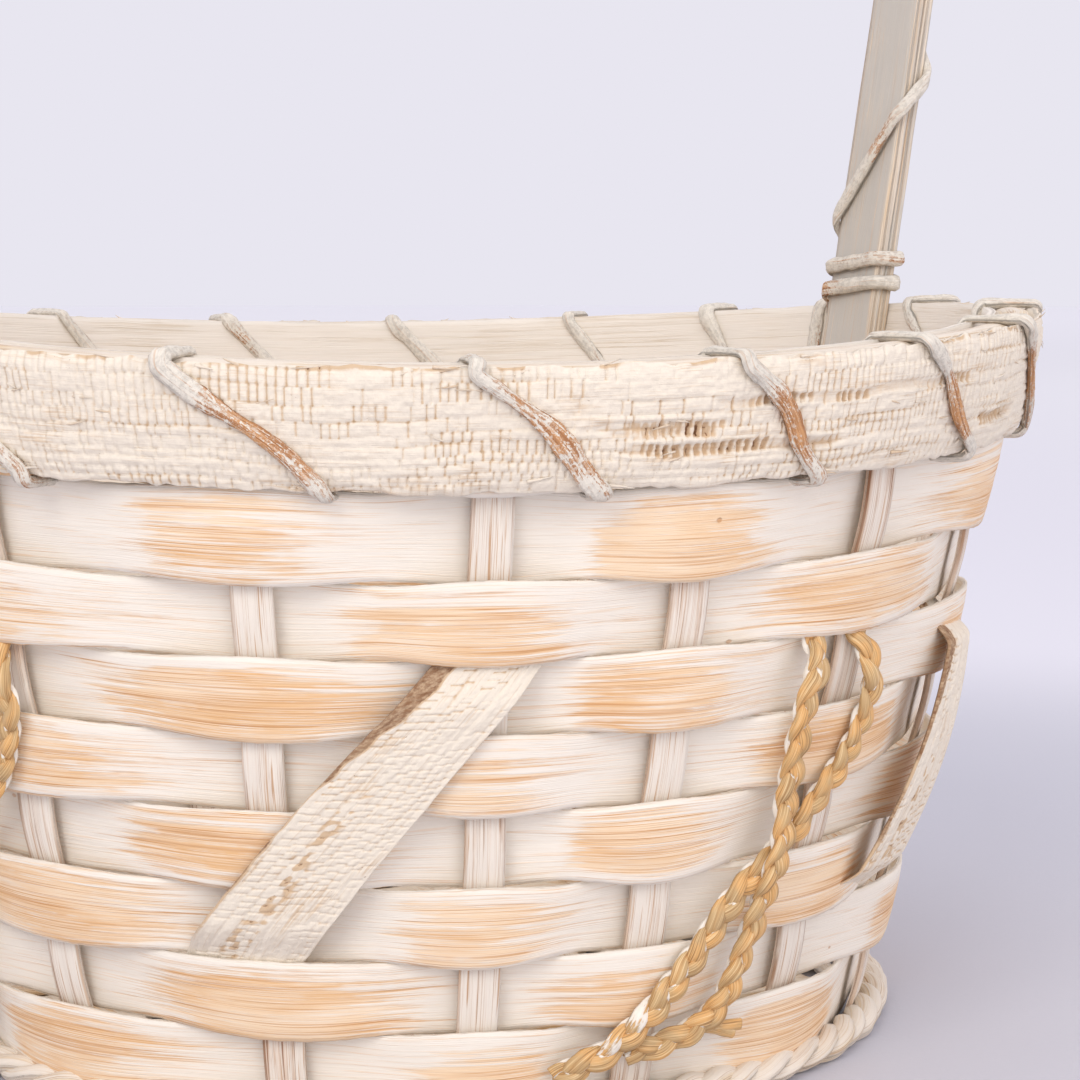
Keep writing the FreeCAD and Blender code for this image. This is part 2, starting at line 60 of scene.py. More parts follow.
def wall_radius(level):
    return 87.0 + 29.0 * level / HEIGHT


def lift(angle, level):
    return 3.1 * np.cos(2 * (angle + math.radians(21))) * (level / HEIGHT) ** 2


def wall_point(angle, offset, level):
    """Point on the wall at real angle, offset outward from the stake plane."""
    angle, offset, level = np.broadcast_arrays(angle, offset, level)
    radius = wall_radius(level) + offset
    return np.stack([radius * np.cos(angle), radius * np.sin(angle), level + lift(angle, level)], -1)


def smooth(low, high, x):
    t = np.clip((x - low) / (high - low), 0, 1)
    return t * t * (3 - 2 * t)


def hoop(count):
    """Real angles of evenly counted places round the wall, as a column."""
    return placed(TURN * np.arange(count) / count)[:, None]


def radial_at(angle):
    return np.stack([np.cos(angle), np.sin(angle), 0 * angle], -1)


# --- seeded noise ---
def hash01(ix, iy, seed):
    h = np.sin(ix * 127.1 + iy * 311.7 + seed * 74.7) * 43758.5453
    return h - np.floor(h)


def noise(x, y, seed, period=0):
    """Smooth value noise from -1 to 1; period makes it repeat in x."""
    x, y = np.broadcast_arrays(np.asarray(x, float), np.asarray(y, float))
    ix, iy = np.floor(x), np.floor(y)
    fx, fy = x - ix, y - iy
    fx, fy = fx * fx * (3 - 2 * fx), fy * fy * (3 - 2 * fy)
    jx = ix + 1
    if period:
        ix, jx = np.mod(ix, period), np.mod(jx, period)
    low = hash01(ix, iy, seed) * (1 - fx) + hash01(jx, iy, seed) * fx
    high = hash01(ix, iy + 1, seed) * (1 - fx) + hash01(jx, iy + 1, seed) * fx
    return 2 * (low * (1 - fy) + high * fy) - 1


# --- meshes ---
def new_object(name, data):
    made = bpy.data.objects.new(name, data)
    bpy.context.scene.collection.objects.link(made)
    return made


def grid_piece(name, points, uv, wear, closed, material, nodes, tint=0.5):
    """Tube of rings: points[ring, corner, xyz].  closed joins the last ring to the first;
    otherwise both ends are capped.  uv is [ring, corner, 2] in millimetres of grain."""
    rings, corners = points.shape[:2]
    mesh = bpy.data.meshes.new(name)
    flat = (points.reshape(-1, 3) * MM).astype(np.float32)
    i = np.arange(rings if closed else rings - 1)
    j = np.arange(corners)
    a = (i[:, None] * corners + j[None, :])
    b = (i[:, None] * corners + (j[None, :] + 1) % corners)
    c = (((i[:, None] + 1) % rings) * corners + (j[None, :] + 1) % corners)
    d = (((i[:, None] + 1) % rings) * corners + j[None, :])
    quads = np.stack([a, d, c, b], -1).reshape(-1, 4)
    loops = quads.reshape(-1)
    starts = np.arange(len(quads)) * 4
    totals = np.full(len(quads), 4)
    # grain coordinates belong to face corners, so the join of a closed ring stays unbroken
    last_u = uv[-1, :, 0] + (uv[-1, :, 0] - uv[-2, :, 0])
    along = np.concatenate([uv[..., 0], last_u[None]], 0)
    across = np.concatenate([uv[..., 1], uv[:1, :, 1]], 0)
    wrap = np.concatenate([across, across[:, :1]], 1)
    wrap_along = np.concatenate([along, along[:, :1]], 1)
    ii, jj = np.meshgrid(i, j, indexing="ij")
    corner_u = np.stack([wrap_along[ii, jj], wrap_along[ii + 1, jj],
                         wrap_along[ii + 1, jj + 1], wrap_along[ii, jj + 1]], -1)
    corner_v = np.stack([wrap[ii, jj], wrap[ii + 1, jj], wrap[ii + 1, jj + 1], wrap[ii, jj + 1]], -1)
    loop_uv = np.stack([corner_u.reshape(-1), corner_v.reshape(-1)], -1)
    if not closed:
        for ring, order in ((0, j), (rings - 1, j[::-1])):
            cap = ring * corners + order
            starts = np.append(starts, len(loops))
            totals = np.append(totals, corners)
            loops = np.concatenate([loops, cap])
            loop_uv = np.concatenate([loop_uv, uv[ring][order]])
    mesh.vertices.add(len(flat))
    mesh.vertices.foreach_set("co", flat.ravel())
    mesh.loops.add(len(loops))
    mesh.loops.foreach_set("vertex_index", loops.astype(np.int32))
    mesh.polygons.add(len(starts))
    mesh.polygons.foreach_set("loop_start", starts.astype(np.int32))
    mesh.polygons.foreach_set("loop_total", totals.astype(np.int32))
    mesh.polygons.foreach_set("use_smooth", np.ones(len(starts), bool))
    layer = mesh.uv_layers.new(name="grain")
    layer.data.foreach_set("uv", (loop_uv * MM * 10).astype(np.float32).ravel())
    for label, values in (("wear", wear), ("tint", np.full((rings, corners), float(tint)))):
        store = mesh.attributes.new(label, "FLOAT", "POINT")
        full = np.broadcast_to(values, (rings, corners)).astype(np.float32)
        store.data.foreach_set("value", np.ascontiguousarray(full).ravel())
    mesh.update()
    mesh.validate()
    piece = new_object(name, mesh)
    mesh.materials.append(material)
    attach(piece, "root")
    if nodes:
        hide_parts(*nodes)
    return piece


def joined(*arrays):
    """Arrays broadcast together and stacked as the last axis."""
    return np.stack(np.broadcast_arrays(*arrays), -1)


def around(path, across, up, x, y):
    """Rings of corners round a path, x to the side and y away from what it lies on."""
    return path[:, None, :] + across[:, None, :] * x[..., None] + up[:, None, :] * y[..., None]


def strip_outline(count_face, count_edge=3):
    """Corners round a flat strip, as two rows: across (-1..1) and through (-1..1)."""
    face = np.linspace(-1, 1, count_face)
    bend = np.radians(np.linspace(90, -90, count_edge + 2)[1:-1])
    out = [(v, 1.0) for v in face] + [(1.0, math.sin(b)) for b in bend]
    back = [(v, -1.0) for v in face[::-1]] + [(-1.0, -math.sin(b)) for b in bend]
    outline = np.array(out + back)
    return outline[None, :, 0], outline[None, :, 1]


# --- materials ---
class Shader:
    """Small helper for writing node trees as expressions."""

    def __init__(self, name):
        self.mat = bpy.data.materials.new(name)
        self.mat.use_nodes = True
        self.tree = self.mat.node_tree
        self.out = self.tree.nodes["Principled BSDF"]
        self.out.inputs["Specular IOR Level"].default_value = 0.25

    def node(self, kind, inputs=(), **settings):
        made = self.tree.nodes.new(kind)
        for key, value in settings.items():
            setattr(made, key, value)
        for key, value in dict(inputs).items():
            self.put(made.inputs[key], value)
        return made

    def put(self, socket, value):
        if isinstance(value, bpy.types.NodeSocket):
            self.tree.links.new(value, socket)
        elif isinstance(value, bpy.types.Node):
            self.tree.links.new(value.outputs[0], socket)
        elif value is not None:
            socket.default_value = value

    def math(self, what, a, b):
        return self.node("ShaderNodeMath", {0: a, 1: b, 2: 0.0}, operation=what).outputs[0]

    def add(self, a, b):
        return self.math("ADD", a, b)

    def mul(self, a, b):
        return self.math("MULTIPLY", a, b)

    def sway(self, value, amount):
        """Noise of 0..1 recentred on zero and scaled."""
        return self.mul(self.add(value, -0.5), amount)

    def ramp(self, value, low, high, to_low=0.0, to_high=1.0):
        return self.node("ShaderNodeMapRange", {"Value": value, "From Min": low, "From Max": high,
                                                "To Min": to_low, "To Max": to_high},
                         interpolation_type="SMOOTHSTEP").outputs[0]

    def attribute(self, name):
        return self.node("ShaderNodeAttribute", attribute_name=name).outputs["Fac"]

    def grain(self, along, across, shift=0.0):
        """Grain coordinates: one unit is `along` mm by `across` mm."""
        uv = self.node("ShaderNodeUVMap", uv_map="grain").outputs[0]
        tint = self.attribute("tint")
        shifted = self.node("ShaderNodeCombineXYZ", {0: self.add(self.mul(tint, 37.0), shift), 1: shift,
                                                     2: self.mul(tint, 91.0)})
        scaled = self.node("ShaderNodeVectorMath", {0: uv, 1: (100.0 / along, 100.0 / across, 1.0)},
                           operation="MULTIPLY").outputs[0]
        return self.node("ShaderNodeVectorMath", {0: scaled, 1: shifted}, operation="ADD").outputs[0]

    def noise(self, vector, scale=1.0, detail=2.0, rough=0.5):
        return self.node("ShaderNodeTexNoise", {"Vector": vector, "Scale": scale, "Detail": detail,
                                                "Roughness": rough}).outputs["Fac"]

    def cells(self, vector):
        return self.node("ShaderNodeTexVoronoi", {"Vector": vector, "Scale": 1.0, "Randomness": 1.0})

    def place(self):
        return self.node("ShaderNodeTexCoord").outputs["Object"]

    def mix(self, share, a, b):
        made = self.node("ShaderNodeMix", data_type="RGBA")
        self.put(made.inputs[0], share)
        self.put(made.inputs[6], a)
        self.put(made.inputs[7], b)
        return made.outputs[2]

    def finish(self, colour, roughness, height, depth):
        self.put(self.out.inputs["Base Color"], colour)
        self.put(self.out.inputs["Roughness"], roughness)
        bump = self.node("ShaderNodeBump", {"Height": height, "Distance": depth * MM, "Strength": 1.0})
        self.put(self.out.inputs["Normal"], bump)
        return self.mat


def srgb(r, g, b):
    def line(c):
        c /= 255.0
        return c / 12.92 if c <= 0.04045 else ((c + 0.055) / 1.055) ** 2.4
    return (line(r), line(g), line(b), 1.0)


def painted_splint(name, cream, bare, dark, pale, stain=0.5, fine=1.0):
    """Split bamboo under a dry-brushed coat: paint rubbed through where wear is high."""
    s = Shader(name)
    wear = s.attribute("wear")
    long_streak = s.noise(s.grain(46.0, 0.9), detail=3.0, rough=0.62)
    fine_streak = s.noise(s.grain(15.0, 0.24, 5.0), detail=2.0, rough=0.65)
    hair = s.noise(s.grain(30.0, 0.13, 11.0), detail=1.0, rough=0.5)
    blotch = s.noise(s.grain(10.0, 3.6, 3.0), detail=3.0, rough=0.6)
    lift_off = s.add(wear, s.add(s.sway(long_streak, 1.5),
                                 s.add(s.sway(fine_streak, 0.95),
                                       s.sway(blotch, 0.75))))
    worn = s.ramp(lift_off, 0.32, 0.66)
    thin = s.mul(s.ramp(lift_off, 0.02, 0.50), s.ramp(hair, 0.50, 0.63))
    warm = s.noise(s.grain(26.0, 6.0, 15.0), detail=2.0, rough=0.5)
    wood = s.mix(s.ramp(warm, 0.34, 0.66), bare, pale)
    wood = s.mix(s.mul(s.ramp(fine_streak, 0.44, 0.66), 0.75), wood, pale)
    wood = s.mix(s.mul(s.ramp(hair, 0.53, 0.68), s.ramp(long_streak, 0.40, 0.60)), wood, dark)
    score = s.noise(s.grain(60.0, 0.42, 27.0), detail=1.0, rough=0.4)
    wood = s.mix(s.mul(s.ramp(score, 0.56, 0.64), 0.55), wood, dark)
    left = s.mul(s.ramp(hair, 0.46, 0.36), s.ramp(blotch, 0.40, 0.60))
    wood = s.mix(s.mul(left, 0.72), wood, cream)
    paint = s.mix(s.mul(s.ramp(blotch, 0.35, 0.75), 0.5), cream,
                  tuple(min(1.0, c * 1.05) for c in cream[:3]) + (1.0,))
    paint = s.mix(s.mul(s.ramp(hair, 0.58, 0.70), 0.30 * stain), paint, bare)
    line = s.noise(s.grain(17.0, 0.36, 23.0), detail=2.0)
    paint = s.mix(s.mul(s.ramp(line, 0.60, 0.68), 0.55 * stain), paint, bare)
    colour = s.mix(s.math("MAXIMUM", worn, s.mul(thin, 0.62)), paint, wood)
    # small knots and pinholes
    spot = s.cells(s.grain(9.0, 5.5, 7.0))
    here = s.ramp(spot.outputs["Distance"], 0.075, 0.045)
    rare = s.ramp(s.node("ShaderNodeSeparateColor", {0: spot.outputs["Color"]}).outputs[0], 0.90, 0.93)
    knot = s.mul(here, rare)
    colour = s.mix(s.mul(knot, 0.75), colour, dark)
    height = s.add(s.mul(fine_streak, 0.40), s.add(s.mul(hair, 0.45 * fine),
                                                   s.add(s.mul(s.math("SUBTRACT", 1.0, worn), 0.30),
                                                         s.mul(knot, -0.8))))
    return s.finish(colour, s.ramp(worn, 0, 1, 0.80, 0.62), height, 0.20)


CREAM = srgb(240, 231, 217)
weaver_paint = painted_splint("weaver_paint", CREAM, srgb(232, 188, 138), srgb(204, 150, 100),
                              srgb(243, 216, 182))
stake_paint = painted_splint("stake_paint", srgb(234, 224, 210), srgb(200, 164, 132), srgb(150, 108, 80),
                             srgb(228, 208, 188), stain=1.8)
base_paint = painted_splint("base_paint", srgb(234, 223, 205), srgb(220, 184, 138), srgb(188, 138, 90),
                            srgb(234, 208, 170))
# painted shade: the handle's cream is set greyer and darker than the cream of the walls and rim, standing in
# for the shade on the handle's faces
handle_paint_painted_shade = painted_splint("handle_paint_painted_shade", srgb(196, 190, 180), srgb(222, 194, 158),
                              srgb(190, 160, 130), srgb(230, 216, 196), stain=0.2)
inner_paint = painted_splint("inner_paint", srgb(232, 223, 210), srgb(222, 207, 187),
                             srgb(206, 190, 168), srgb(232, 222, 208), stain=0.25)
reed_paint = painted_splint("reed_paint", srgb(226, 215, 200), srgb(206, 176, 138),
                            srgb(160, 118, 80), srgb(230, 212, 182), stain=0.9)


def bark(name, cream, crack_tone, dark):
    """Ridged, cracked palm bark under thick cream paint; wear carries crack depth."""
    s = Shader(name)
    crack = s.attribute("wear")
    patch = s.noise(s.grain(16.0, 7.0, 9.0), detail=3.0, rough=0.6)
    fibre = s.noise(s.grain(7.0, 0.30, 4.0), detail=3.0, rough=0.6)
    crumbs = s.noise(s.grain(0.8, 0.8, 6.0), detail=3.0, rough=0.7)
    open_ = s.ramp(s.add(crack, s.sway(crumbs, 0.55)), 0.14, 0.62)
    deep = s.ramp(s.add(crack, s.sway(crumbs, 0.25)), 0.86, 1.0)
    paint = s.mix(s.ramp(crumbs, 0.35, 0.7), cream, tuple(min(1.0, c * 1.06) for c in cream[:3]) + (1.0,))
    paint = s.mix(s.mul(s.ramp(fibre, 0.56, 0.70), 0.30), paint, crack_tone)
    colour = s.mix(s.mul(open_, 0.80), paint, crack_tone)
    # the deepest cracks are painted dark brown: bare dark bark together with painted shade in the bottoms of
    # the cracks
    colour = s.mix(deep, colour, dark)
    rub = s.mul(s.ramp(patch, 0.56, 0.70), s.ramp(fibre, 0.44, 0.58))
    colour = s.mix(s.mul(rub, 0.50), colour, crack_tone)
    speck = s.noise(s.grain(0.55, 0.45, 31.0), detail=2.0, rough=0.6)
    colour = s.mix(s.mul(s.mul(s.ramp(speck, 0.70, 0.76), s.ramp(patch, 0.50, 0.62)), 0.7), colour, dark)
    height = s.add(s.mul(fibre, 0.5), s.mul(crumbs, 0.45))
    return s.finish(colour, 0.86, height, 0.26)


bark_paint = bark("bark_paint", srgb(228, 217, 200), srgb(202, 170, 132), srgb(136, 100, 72))


def vine(name, wash, brown, dark):
    s = Shader(name)
    wear = s.attribute("wear")
    fibre = s.noise(s.grain(12.0, 0.42), detail=3.0, rough=0.65)
    patch = s.noise(s.grain(13.0, 5.0, 3.0), detail=3.0, rough=0.65)
    crust = s.noise(s.grain(1.1, 0.9, 8.0), detail=3.0, rough=0.75)
    bare = s.ramp(s.add(wear, s.add(s.sway(patch, 1.2), s.add(
        s.sway(fibre, 1.1), s.sway(crust, 1.5)))), 0.42, 0.60)
    paint = s.mix(s.ramp(crust, 0.40, 0.66), wash, tuple(c * 0.78 for c in wash[:3]) + (1.0,))
    paint = s.mix(s.mul(s.ramp(fibre, 0.58, 0.68), 0.45), paint, brown)
    wood = s.mix(s.ramp(fibre, 0.42, 0.62), brown, dark)
    wood = s.mix(s.mul(s.ramp(crust, 0.52, 0.64), 0.55), wood, wash)
    colour = s.mix(bare, paint, wood)
    height = s.add(s.mul(fibre, 0.9), s.mul(crust, 0.8))
    return s.finish(colour, 0.82, height, 0.34)


vine_wash = vine("vine_wash", srgb(226, 218, 204), srgb(206, 154, 106), srgb(164, 114, 76))


def straw(name):
    """Bare golden straw with white paint left in the crevices between the plies."""
    s = Shader(name)
    crevice = s.attribute("wear")
    fibre = s.noise(s.grain(8.0, 0.20), detail=2.0, rough=0.6)
    patch = s.noise(s.grain(5.0, 4.0, 4.0), detail=2.0, rough=0.6)
    mixed = s.noise(s.grain(2.6, 0.7, 9.0), detail=3.0, rough=0.65)
    gold = s.mix(s.ramp(patch, 0.38, 0.62), srgb(196, 164, 118), srgb(222, 172, 110))
    gold = s.mix(s.ramp(fibre, 0.50, 0.68), gold, srgb(166, 126, 80))
    gold = s.mix(s.mul(s.ramp(fibre, 0.46, 0.34), 0.7), gold, srgb(236, 208, 160))
    paint = s.ramp(s.add(crevice, s.sway(mixed, 1.1)), 0.46, 0.62)
    colour = s.mix(paint, gold, srgb(240, 232, 218))
    return s.finish(colour, s.ramp(paint, 0, 1, 0.5, 0.85), s.add(s.mul(fibre, 0.7), s.mul(paint, 0.6)),
                    0.16)


straw_gold = straw("straw_gold")

# --- camera ---
# The view is 30 degrees round from the face of the handle, slightly above the rim.
camera = new_object("camera", bpy.data.cameras.new("camera"))
camera.data.sensor_width = 36.0
camera.data.lens = 92.2
camera.data.clip_start = 0.01
camera.location = (-0.2453, -0.4761, 0.1470)
camera.rotation_euler = (math.radians(90) - 0.107, 0.0, math.radians(-30))
bpy.context.scene.camera = camera


# --- woven rows ---
ROW_STRIP = strip_outline(15)


def woven_row(index, level, side, name, nodes, raise_top=0.0, drop=0.0):
    """Closed hoop of flat splint; level is the lower edge of its band."""
    count = STAKES * 40
    u = TURN * np.arange(count) / count
    angle = placed(u)
    phase = STAKES / 2 * u
    wave = side * np.cos(phase)
    seed = 100 + 17 * index
    swing = SWING * wave * (1 + 0.05 * noise(u * 16 / TURN, 0, seed, 16)) - 0.06 * side * np.cos(3 * phase)
    bulge = np.abs(wave) ** 1.5
    tall = 12.55 + 1.85 * bulge + 0.35 * noise(u * 32 / TURN, 3, seed + 1, 32)
    middle = level + ROW_HEIGHT / 2 + 0.35 * noise(u * 16 / TURN, 9, seed + 2, 16) - 0.15 * bulge
    v, through = ROW_STRIP
    along = np.degrees(angle)[:, None] * TURN / 360 * (wall_radius(level) + 3)
    ragged = 0.10 * noise(along / 1.1, through + 5, seed + 3) * (np.abs(v) > 0.9)
    z = (middle[:, None] + v * (tall[:, None] / 2 + ragged) + raise_top * np.maximum(v, 0)
         - drop * np.maximum(-v, 0))
    thin = 0.50 - 0.10 * (np.abs(v) > 0.93)
    cup = -0.30 * v ** 2 * np.sign(wave)[:, None] * bulge[:, None]
    relief = 0.05 * noise(along / 24, v * 9, seed + 4) + 0.10 * noise(along / 9, v * 1.5, seed + 5)
    offset = swing[:, None] + cup + relief + through * thin
    points = wall_point(angle[:, None], offset, z)
    # paint is rubbed away where the splint stands out, differently at every bulge
    wear = np.zeros(offset.shape)
    for face, parity in ((1, 0 if side > 0 else 1), (-1, 1 if side > 0 else 0)):
        bulge_n = 2 * np.round((phase / math.pi - parity) / 2) + parity
        away = (phase / math.pi - bulge_n) * 41.0
        r = [hash01(np.mod(bulge_n, STAKES), k, seed + 6) for k in range(7)]
        shift, reach = 8.0 * (r[2] - 0.5), 17.0 + 10.0 * r[1]
        reach = reach * np.where(away < shift, 0.80 + 0.35 * r[5], 1.0)
        steep = np.where(away < shift, 2.2 + 4.0 * r[6], 1.9)
        low, deep = -0.22 + 0.5 * (r[3] - 0.5), 0.85 + 0.35 * r[4]
        lobe = (np.exp(-np.abs((away - shift) / reach) ** steep)[:, None]
                * np.exp(-np.abs((v - low[:, None]) / deep[:, None]) ** 3.5))
        strength = 0.60 + 0.42 * r[0] - (0.25 if face < 0 else 0.0)
        wear = np.where(through * face > 0.1, lobe * strength[:, None], wear)
    uv = joined(along, (v * 6.5 + 20 * (through < 0)))
    tint = 0.11 + 0.097 * index
    return grid_piece(name, points, uv, wear, True, weaver_paint, nodes, tint)


for row in range(8):
    woven_row(row, ROW_TOP - ROW_HEIGHT - row * PITCH, 1 if row % 2 == 0 else -1,
              "splint_row_%02d" % (row + 1), ["weaver_row_%02d" % (row + 1)],
              raise_top=2.2 if row == 0 else 0.0, drop=2.2 if row == 7 else 0.0)
woven_row(8, 111.2, -1, "splint_row_rim", ["weaver_row_rim"])


# --- stakes ---
def stake(n):
    count = 150
    angle = float(placed(np.array(stake_u(n))))
    top = HEIGHT - 3.6
    level = np.linspace(0.8, top, count)
    seed = 400 + 7 * n
    row = (ROW_TOP - level) / PITCH
    side = np.where(np.mod(np.floor(row), 2) == 0, 1.0, -1.0) * (1 if n % 2 == 0 else -1)
    press = np.sin(np.pi * np.mod(row, 1.0)) * side
    v, through = strip_outline(9)
    wide = 3.5 + 0.30 * noise(level / 30, 1, seed)[:, None]
    drift = 0.5 * noise(level / 45, 4, seed + 1)[:, None]
    offset = (-0.38 * press[:, None] + through * 0.55 + 0.08 * noise(level[:, None] / 20, v * 4, seed + 2)
              - 0.10 * v ** 2)
    spin = (v * wide + drift) / wall_radius(level)[:, None]
    points = wall_point(angle + spin, offset, level[:, None])
    wear = 0.26 + 0.50 * (v < -0.85) + 0.22 * noise(level / 14, 2, seed + 3)[:, None] + 0 * v
    uv = joined(level[:, None], v * 3.6 + 15 * (through < 0))
    grid_piece("upright_%02d" % (n + 1), points, uv, wear, False, stake_paint,
               ["stake_%02d" % (n + 1)], 0.05 + 0.06 * n)


for n in range(STAKES):
    stake(n)


# --- bark relief ---
def bark_relief(along, across, lanes, seed, step=1.45, torn=0.0, bias=0.0):
    """Relief in mm and crack depth 0..1 for bark split into lanes running along it.

    lanes are the heights of the lanes across; cracks cut every lane into small blocks."""
    edges = np.concatenate([[0.0], np.cumsum(lanes)]) - sum(lanes) / 2
    wander = 0.75 * noise(along / 26.0, 0, seed) + 0.32 * noise(along / 6.0, across / 4.0, seed + 1)
    place = np.clip(across + wander, edges[0] + 1e-3, edges[-1] - 1e-3)
    lane = np.searchsorted(edges, place) - 1.0
    wide = np.asarray(lanes)[lane.astype(int)]
    within = (place - edges[lane.astype(int)]) / wide
    rim = np.minimum(within, 1 - within) * wide
    groove = np.exp(-(rim / 0.26) ** 2) * (0.55 + 0.45 * noise(along / 9.0, np.round(place * 1.2), seed + 2))
    cell = along / step + 0.45 * noise(along / 4.0, lane * 7.3, seed + 3) + hash01(lane, 0, seed + 4)
    cell_n = np.floor(cell)
    part = cell - cell_n
    gap = np.minimum(part, 1 - part) * step
    zone = noise(along / 16.0, lane * 0.6, seed + 6)
    near_n = np.where(part < 0.5, cell_n, cell_n + 1)
    chance = smooth(0.15, 0.60, hash01(near_n, lane, seed + 5) + 0.85 * zone)
    cross = np.exp(-(gap / 0.20) ** 2) * chance
    block = (hash01(cell_n, lane, seed + 7) - 0.5) * 0.22 * smooth(-0.6, 0.5, zone)
    plate = (hash01(np.floor(along / 19.0 + 0.5 * noise(along / 9, lane, seed)), lane, seed + 8) - 0.5) * 0.22
    relief = (block + plate - 0.42 * groove - 0.40 * cross + 0.13 * noise(along / 0.9, across / 0.7, seed + 9)
              + 0.12 * noise(along / 2.6, across / 1.6, seed + 10))
    dry = 0.45 + 0.65 * smooth(-0.45, 0.45, noise(along / 27.0, across / 6.0, seed + 15))
    crack = np.clip((0.42 * groove + 0.48 * cross) * dry + 0.10 * zone, 0, 1)
    if torn > 0:
        # outer skin torn off in long ragged patches; the ribs beneath stand like a ladder
        line = noise(along / 24.0, 3, seed + 11) + 0.35 * noise(along / 3.0, across / 1.4, seed + 12)
        for centre, start, half in ((-0.5, 0, 1.25), (-4.2, 7, 1.0), (3.4, 19, 0.8)):
            open_ = smooth(0.10, 0.30, noise(along / 21.0, start, seed + 20) + 0.30 * line
                           - 0.12 + bias) * torn
            near = smooth(half + 0.35, half - 0.25, np.abs(across + wander - centre
                                                         + 0.5 * noise(along / 6.0, start, seed + 21)))
            rung = np.mod(along / 1.55 + 0.5 * noise(along / 5, start, seed), 1)
            rib = smooth(0.30, 0.55, np.abs(rung - 0.5) * 2 + 0.25 * noise(along / 0.7, across, seed + 13))
            some = smooth(-0.15, 0.25, noise(along / 7.0, start + 3, seed + 22))
            hole = open_ * near
            relief = relief - 0.40 * hole - 0.80 * hole * rib * some
            # the gaps between the ribs get crack values near 1, which the bark material paints dark brown:
            # dark bark with painted shade in the gaps
            crack = np.clip(crack + 0.30 * hole + 0.58 * hole * rib * some, 0, 1)
            lip = open_ * np.exp(-((np.abs(across + wander - centre) - half - 0.35) / 0.35) ** 2)
            relief = relief + 0.42 * lip * (0.5 + 0.5 * noise(along / 1.3, across, seed + 14))
    return relief, crack


# --- rim ---
RIM_LANES = [1.5, 1.5, 1.7, 1.5, 2.1, 1.7, 2.5, 2.5, 3.2, 3.0]


def rim_outer():
    count, face_n = 3600, 61
    angle = hoop(count)
    v = np.concatenate([np.linspace(-1, 1, face_n), [1.0, 0.985, 0.5, -0.5, -0.985, -1.0]])[None, :]
    inward = np.concatenate([np.zeros(face_n), [0.45, 1, 1, 1, 1, 0.45]])[None, :]
    along = angle * 119.0
    face = np.where(inward > 0, 0.0, 1.0)
    puff = 1 - np.abs(v) ** 5
    ragged = noise(along / 7, 3 + v, 77) + 0.7 * noise(along / 1.9, 5 + v, 78)
    edge = smooth(0.82, 1.0, np.abs(v))
    level = BAND_MIDDLE + v * (BAND_HALF - 0.42 + 0.40 * ragged * edge)
    facing = np.cos(angle - math.radians(269))
    bias = 0.42 * smooth(0.78, 0.93, facing) - 0.42 * smooth(0.80, 0.95, np.cos(angle - math.radians(222)))
    relief, crack = bark_relief(along, v * 10.6, RIM_LANES, 31, torn=1.0, bias=bias)
    big = 0.45 * noise(along / 30.0, v * 1.2, 35) + 0.22 * noise(along / 10.0, v * 2.5, 36)
    fade = 1 - smooth(0.94, 1.0, np.abs(v)) * 0.7
    surface = 4.50 + 1.18 * puff + (relief + 0.55 * big) * fade
    offset = np.where(inward > 0, np.where(inward < 1, 4.1, 3.45), surface)
    points = wall_point(angle, offset, level)
    chipped = noise(along / 5.0, v, 37) + 0.4 * noise(along / 1.2, v, 38)
    lip = smooth(0.90, 1.0, v) * smooth(-0.1, 0.5, chipped)
    wear = (crack * fade + 0.75 * lip) * face
    uv = joined(along, v * 10.6 + 30 * (inward > 0.6))
    grid_piece("rim_bark_outer", points, uv, wear, True, bark_paint, ["rim_outer_band"], 0.31)


def rim_inner():
    count = 900
    angle = hoop(count)
    v, through = strip_outline(15, 3)
    along = angle * 110.0
    level = BAND_MIDDLE + v * (BAND_HALF - 0.15 + 0.12 * noise(along / 7, 3, 51)) + 0 * along
    bow = 0.30 * noise(along / 25, v * 1.2, 52) + 0.10 * noise(along / 12, v * 5, 53)
    offset = -4.65 + through * (0.85 - 0.15 * np.abs(v) ** 6) + bow * 0.5
    points = wall_point(angle, offset, level)
    wear = 0.30 + 0.20 * noise(along / 20, v * 2, 54)
    uv = joined(along, v * 10.6 + 30 * (through > 0))
    grid_piece("rim_band_inner", points, uv, wear, True, inner_paint, ["rim_inner_band"], 0.47)


def rim_reed():
    count = 900
    angle = hoop(count)
    spin = np.radians(np.arange(0, 360, 360 / 20))[None, :]
    along = angle * 115.0
    wide, tall = 3.05, 1.55
    offset = wide * np.sign(np.cos(spin)) * np.abs(np.cos(spin)) ** 0.8
    offset = offset + 0.10 * noise(along / 6, spin * 3, 61)
    level = HEIGHT - 1.75 + tall * np.sin(spin) + 0.12 * noise(along / 9, spin * 2, 62)
    points = wall_point(angle, offset, level)
    uv = joined(along, spin * 2.6)
    wear = 0.28 + 0.25 * noise(along / 15, spin, 63)
    grid_piece("rim_reed", points, uv, wear, True, reed_paint, ["rim_filler"], 0.63)


rim_outer()
rim_inner()
rim_reed()


# --- tubes along a path ---
def unit(v):
    return v / np.maximum(np.linalg.norm(v, axis=-1, keepdims=True), 1e-9)


def frame_along(path, outward, closed):
    if closed:
        ahead = np.roll(path, -1, 0) - np.roll(path, 1, 0)
    else:
        ahead = np.gradient(path, axis=0)
    ahead = unit(ahead)
    across = unit(np.cross(ahead, outward))
    up = unit(np.cross(across, ahead))
    return across, up


def path_length(path):
    step = np.linalg.norm(np.diff(path, axis=0), axis=1)
    return np.concatenate([[0.0], np.cumsum(step)])


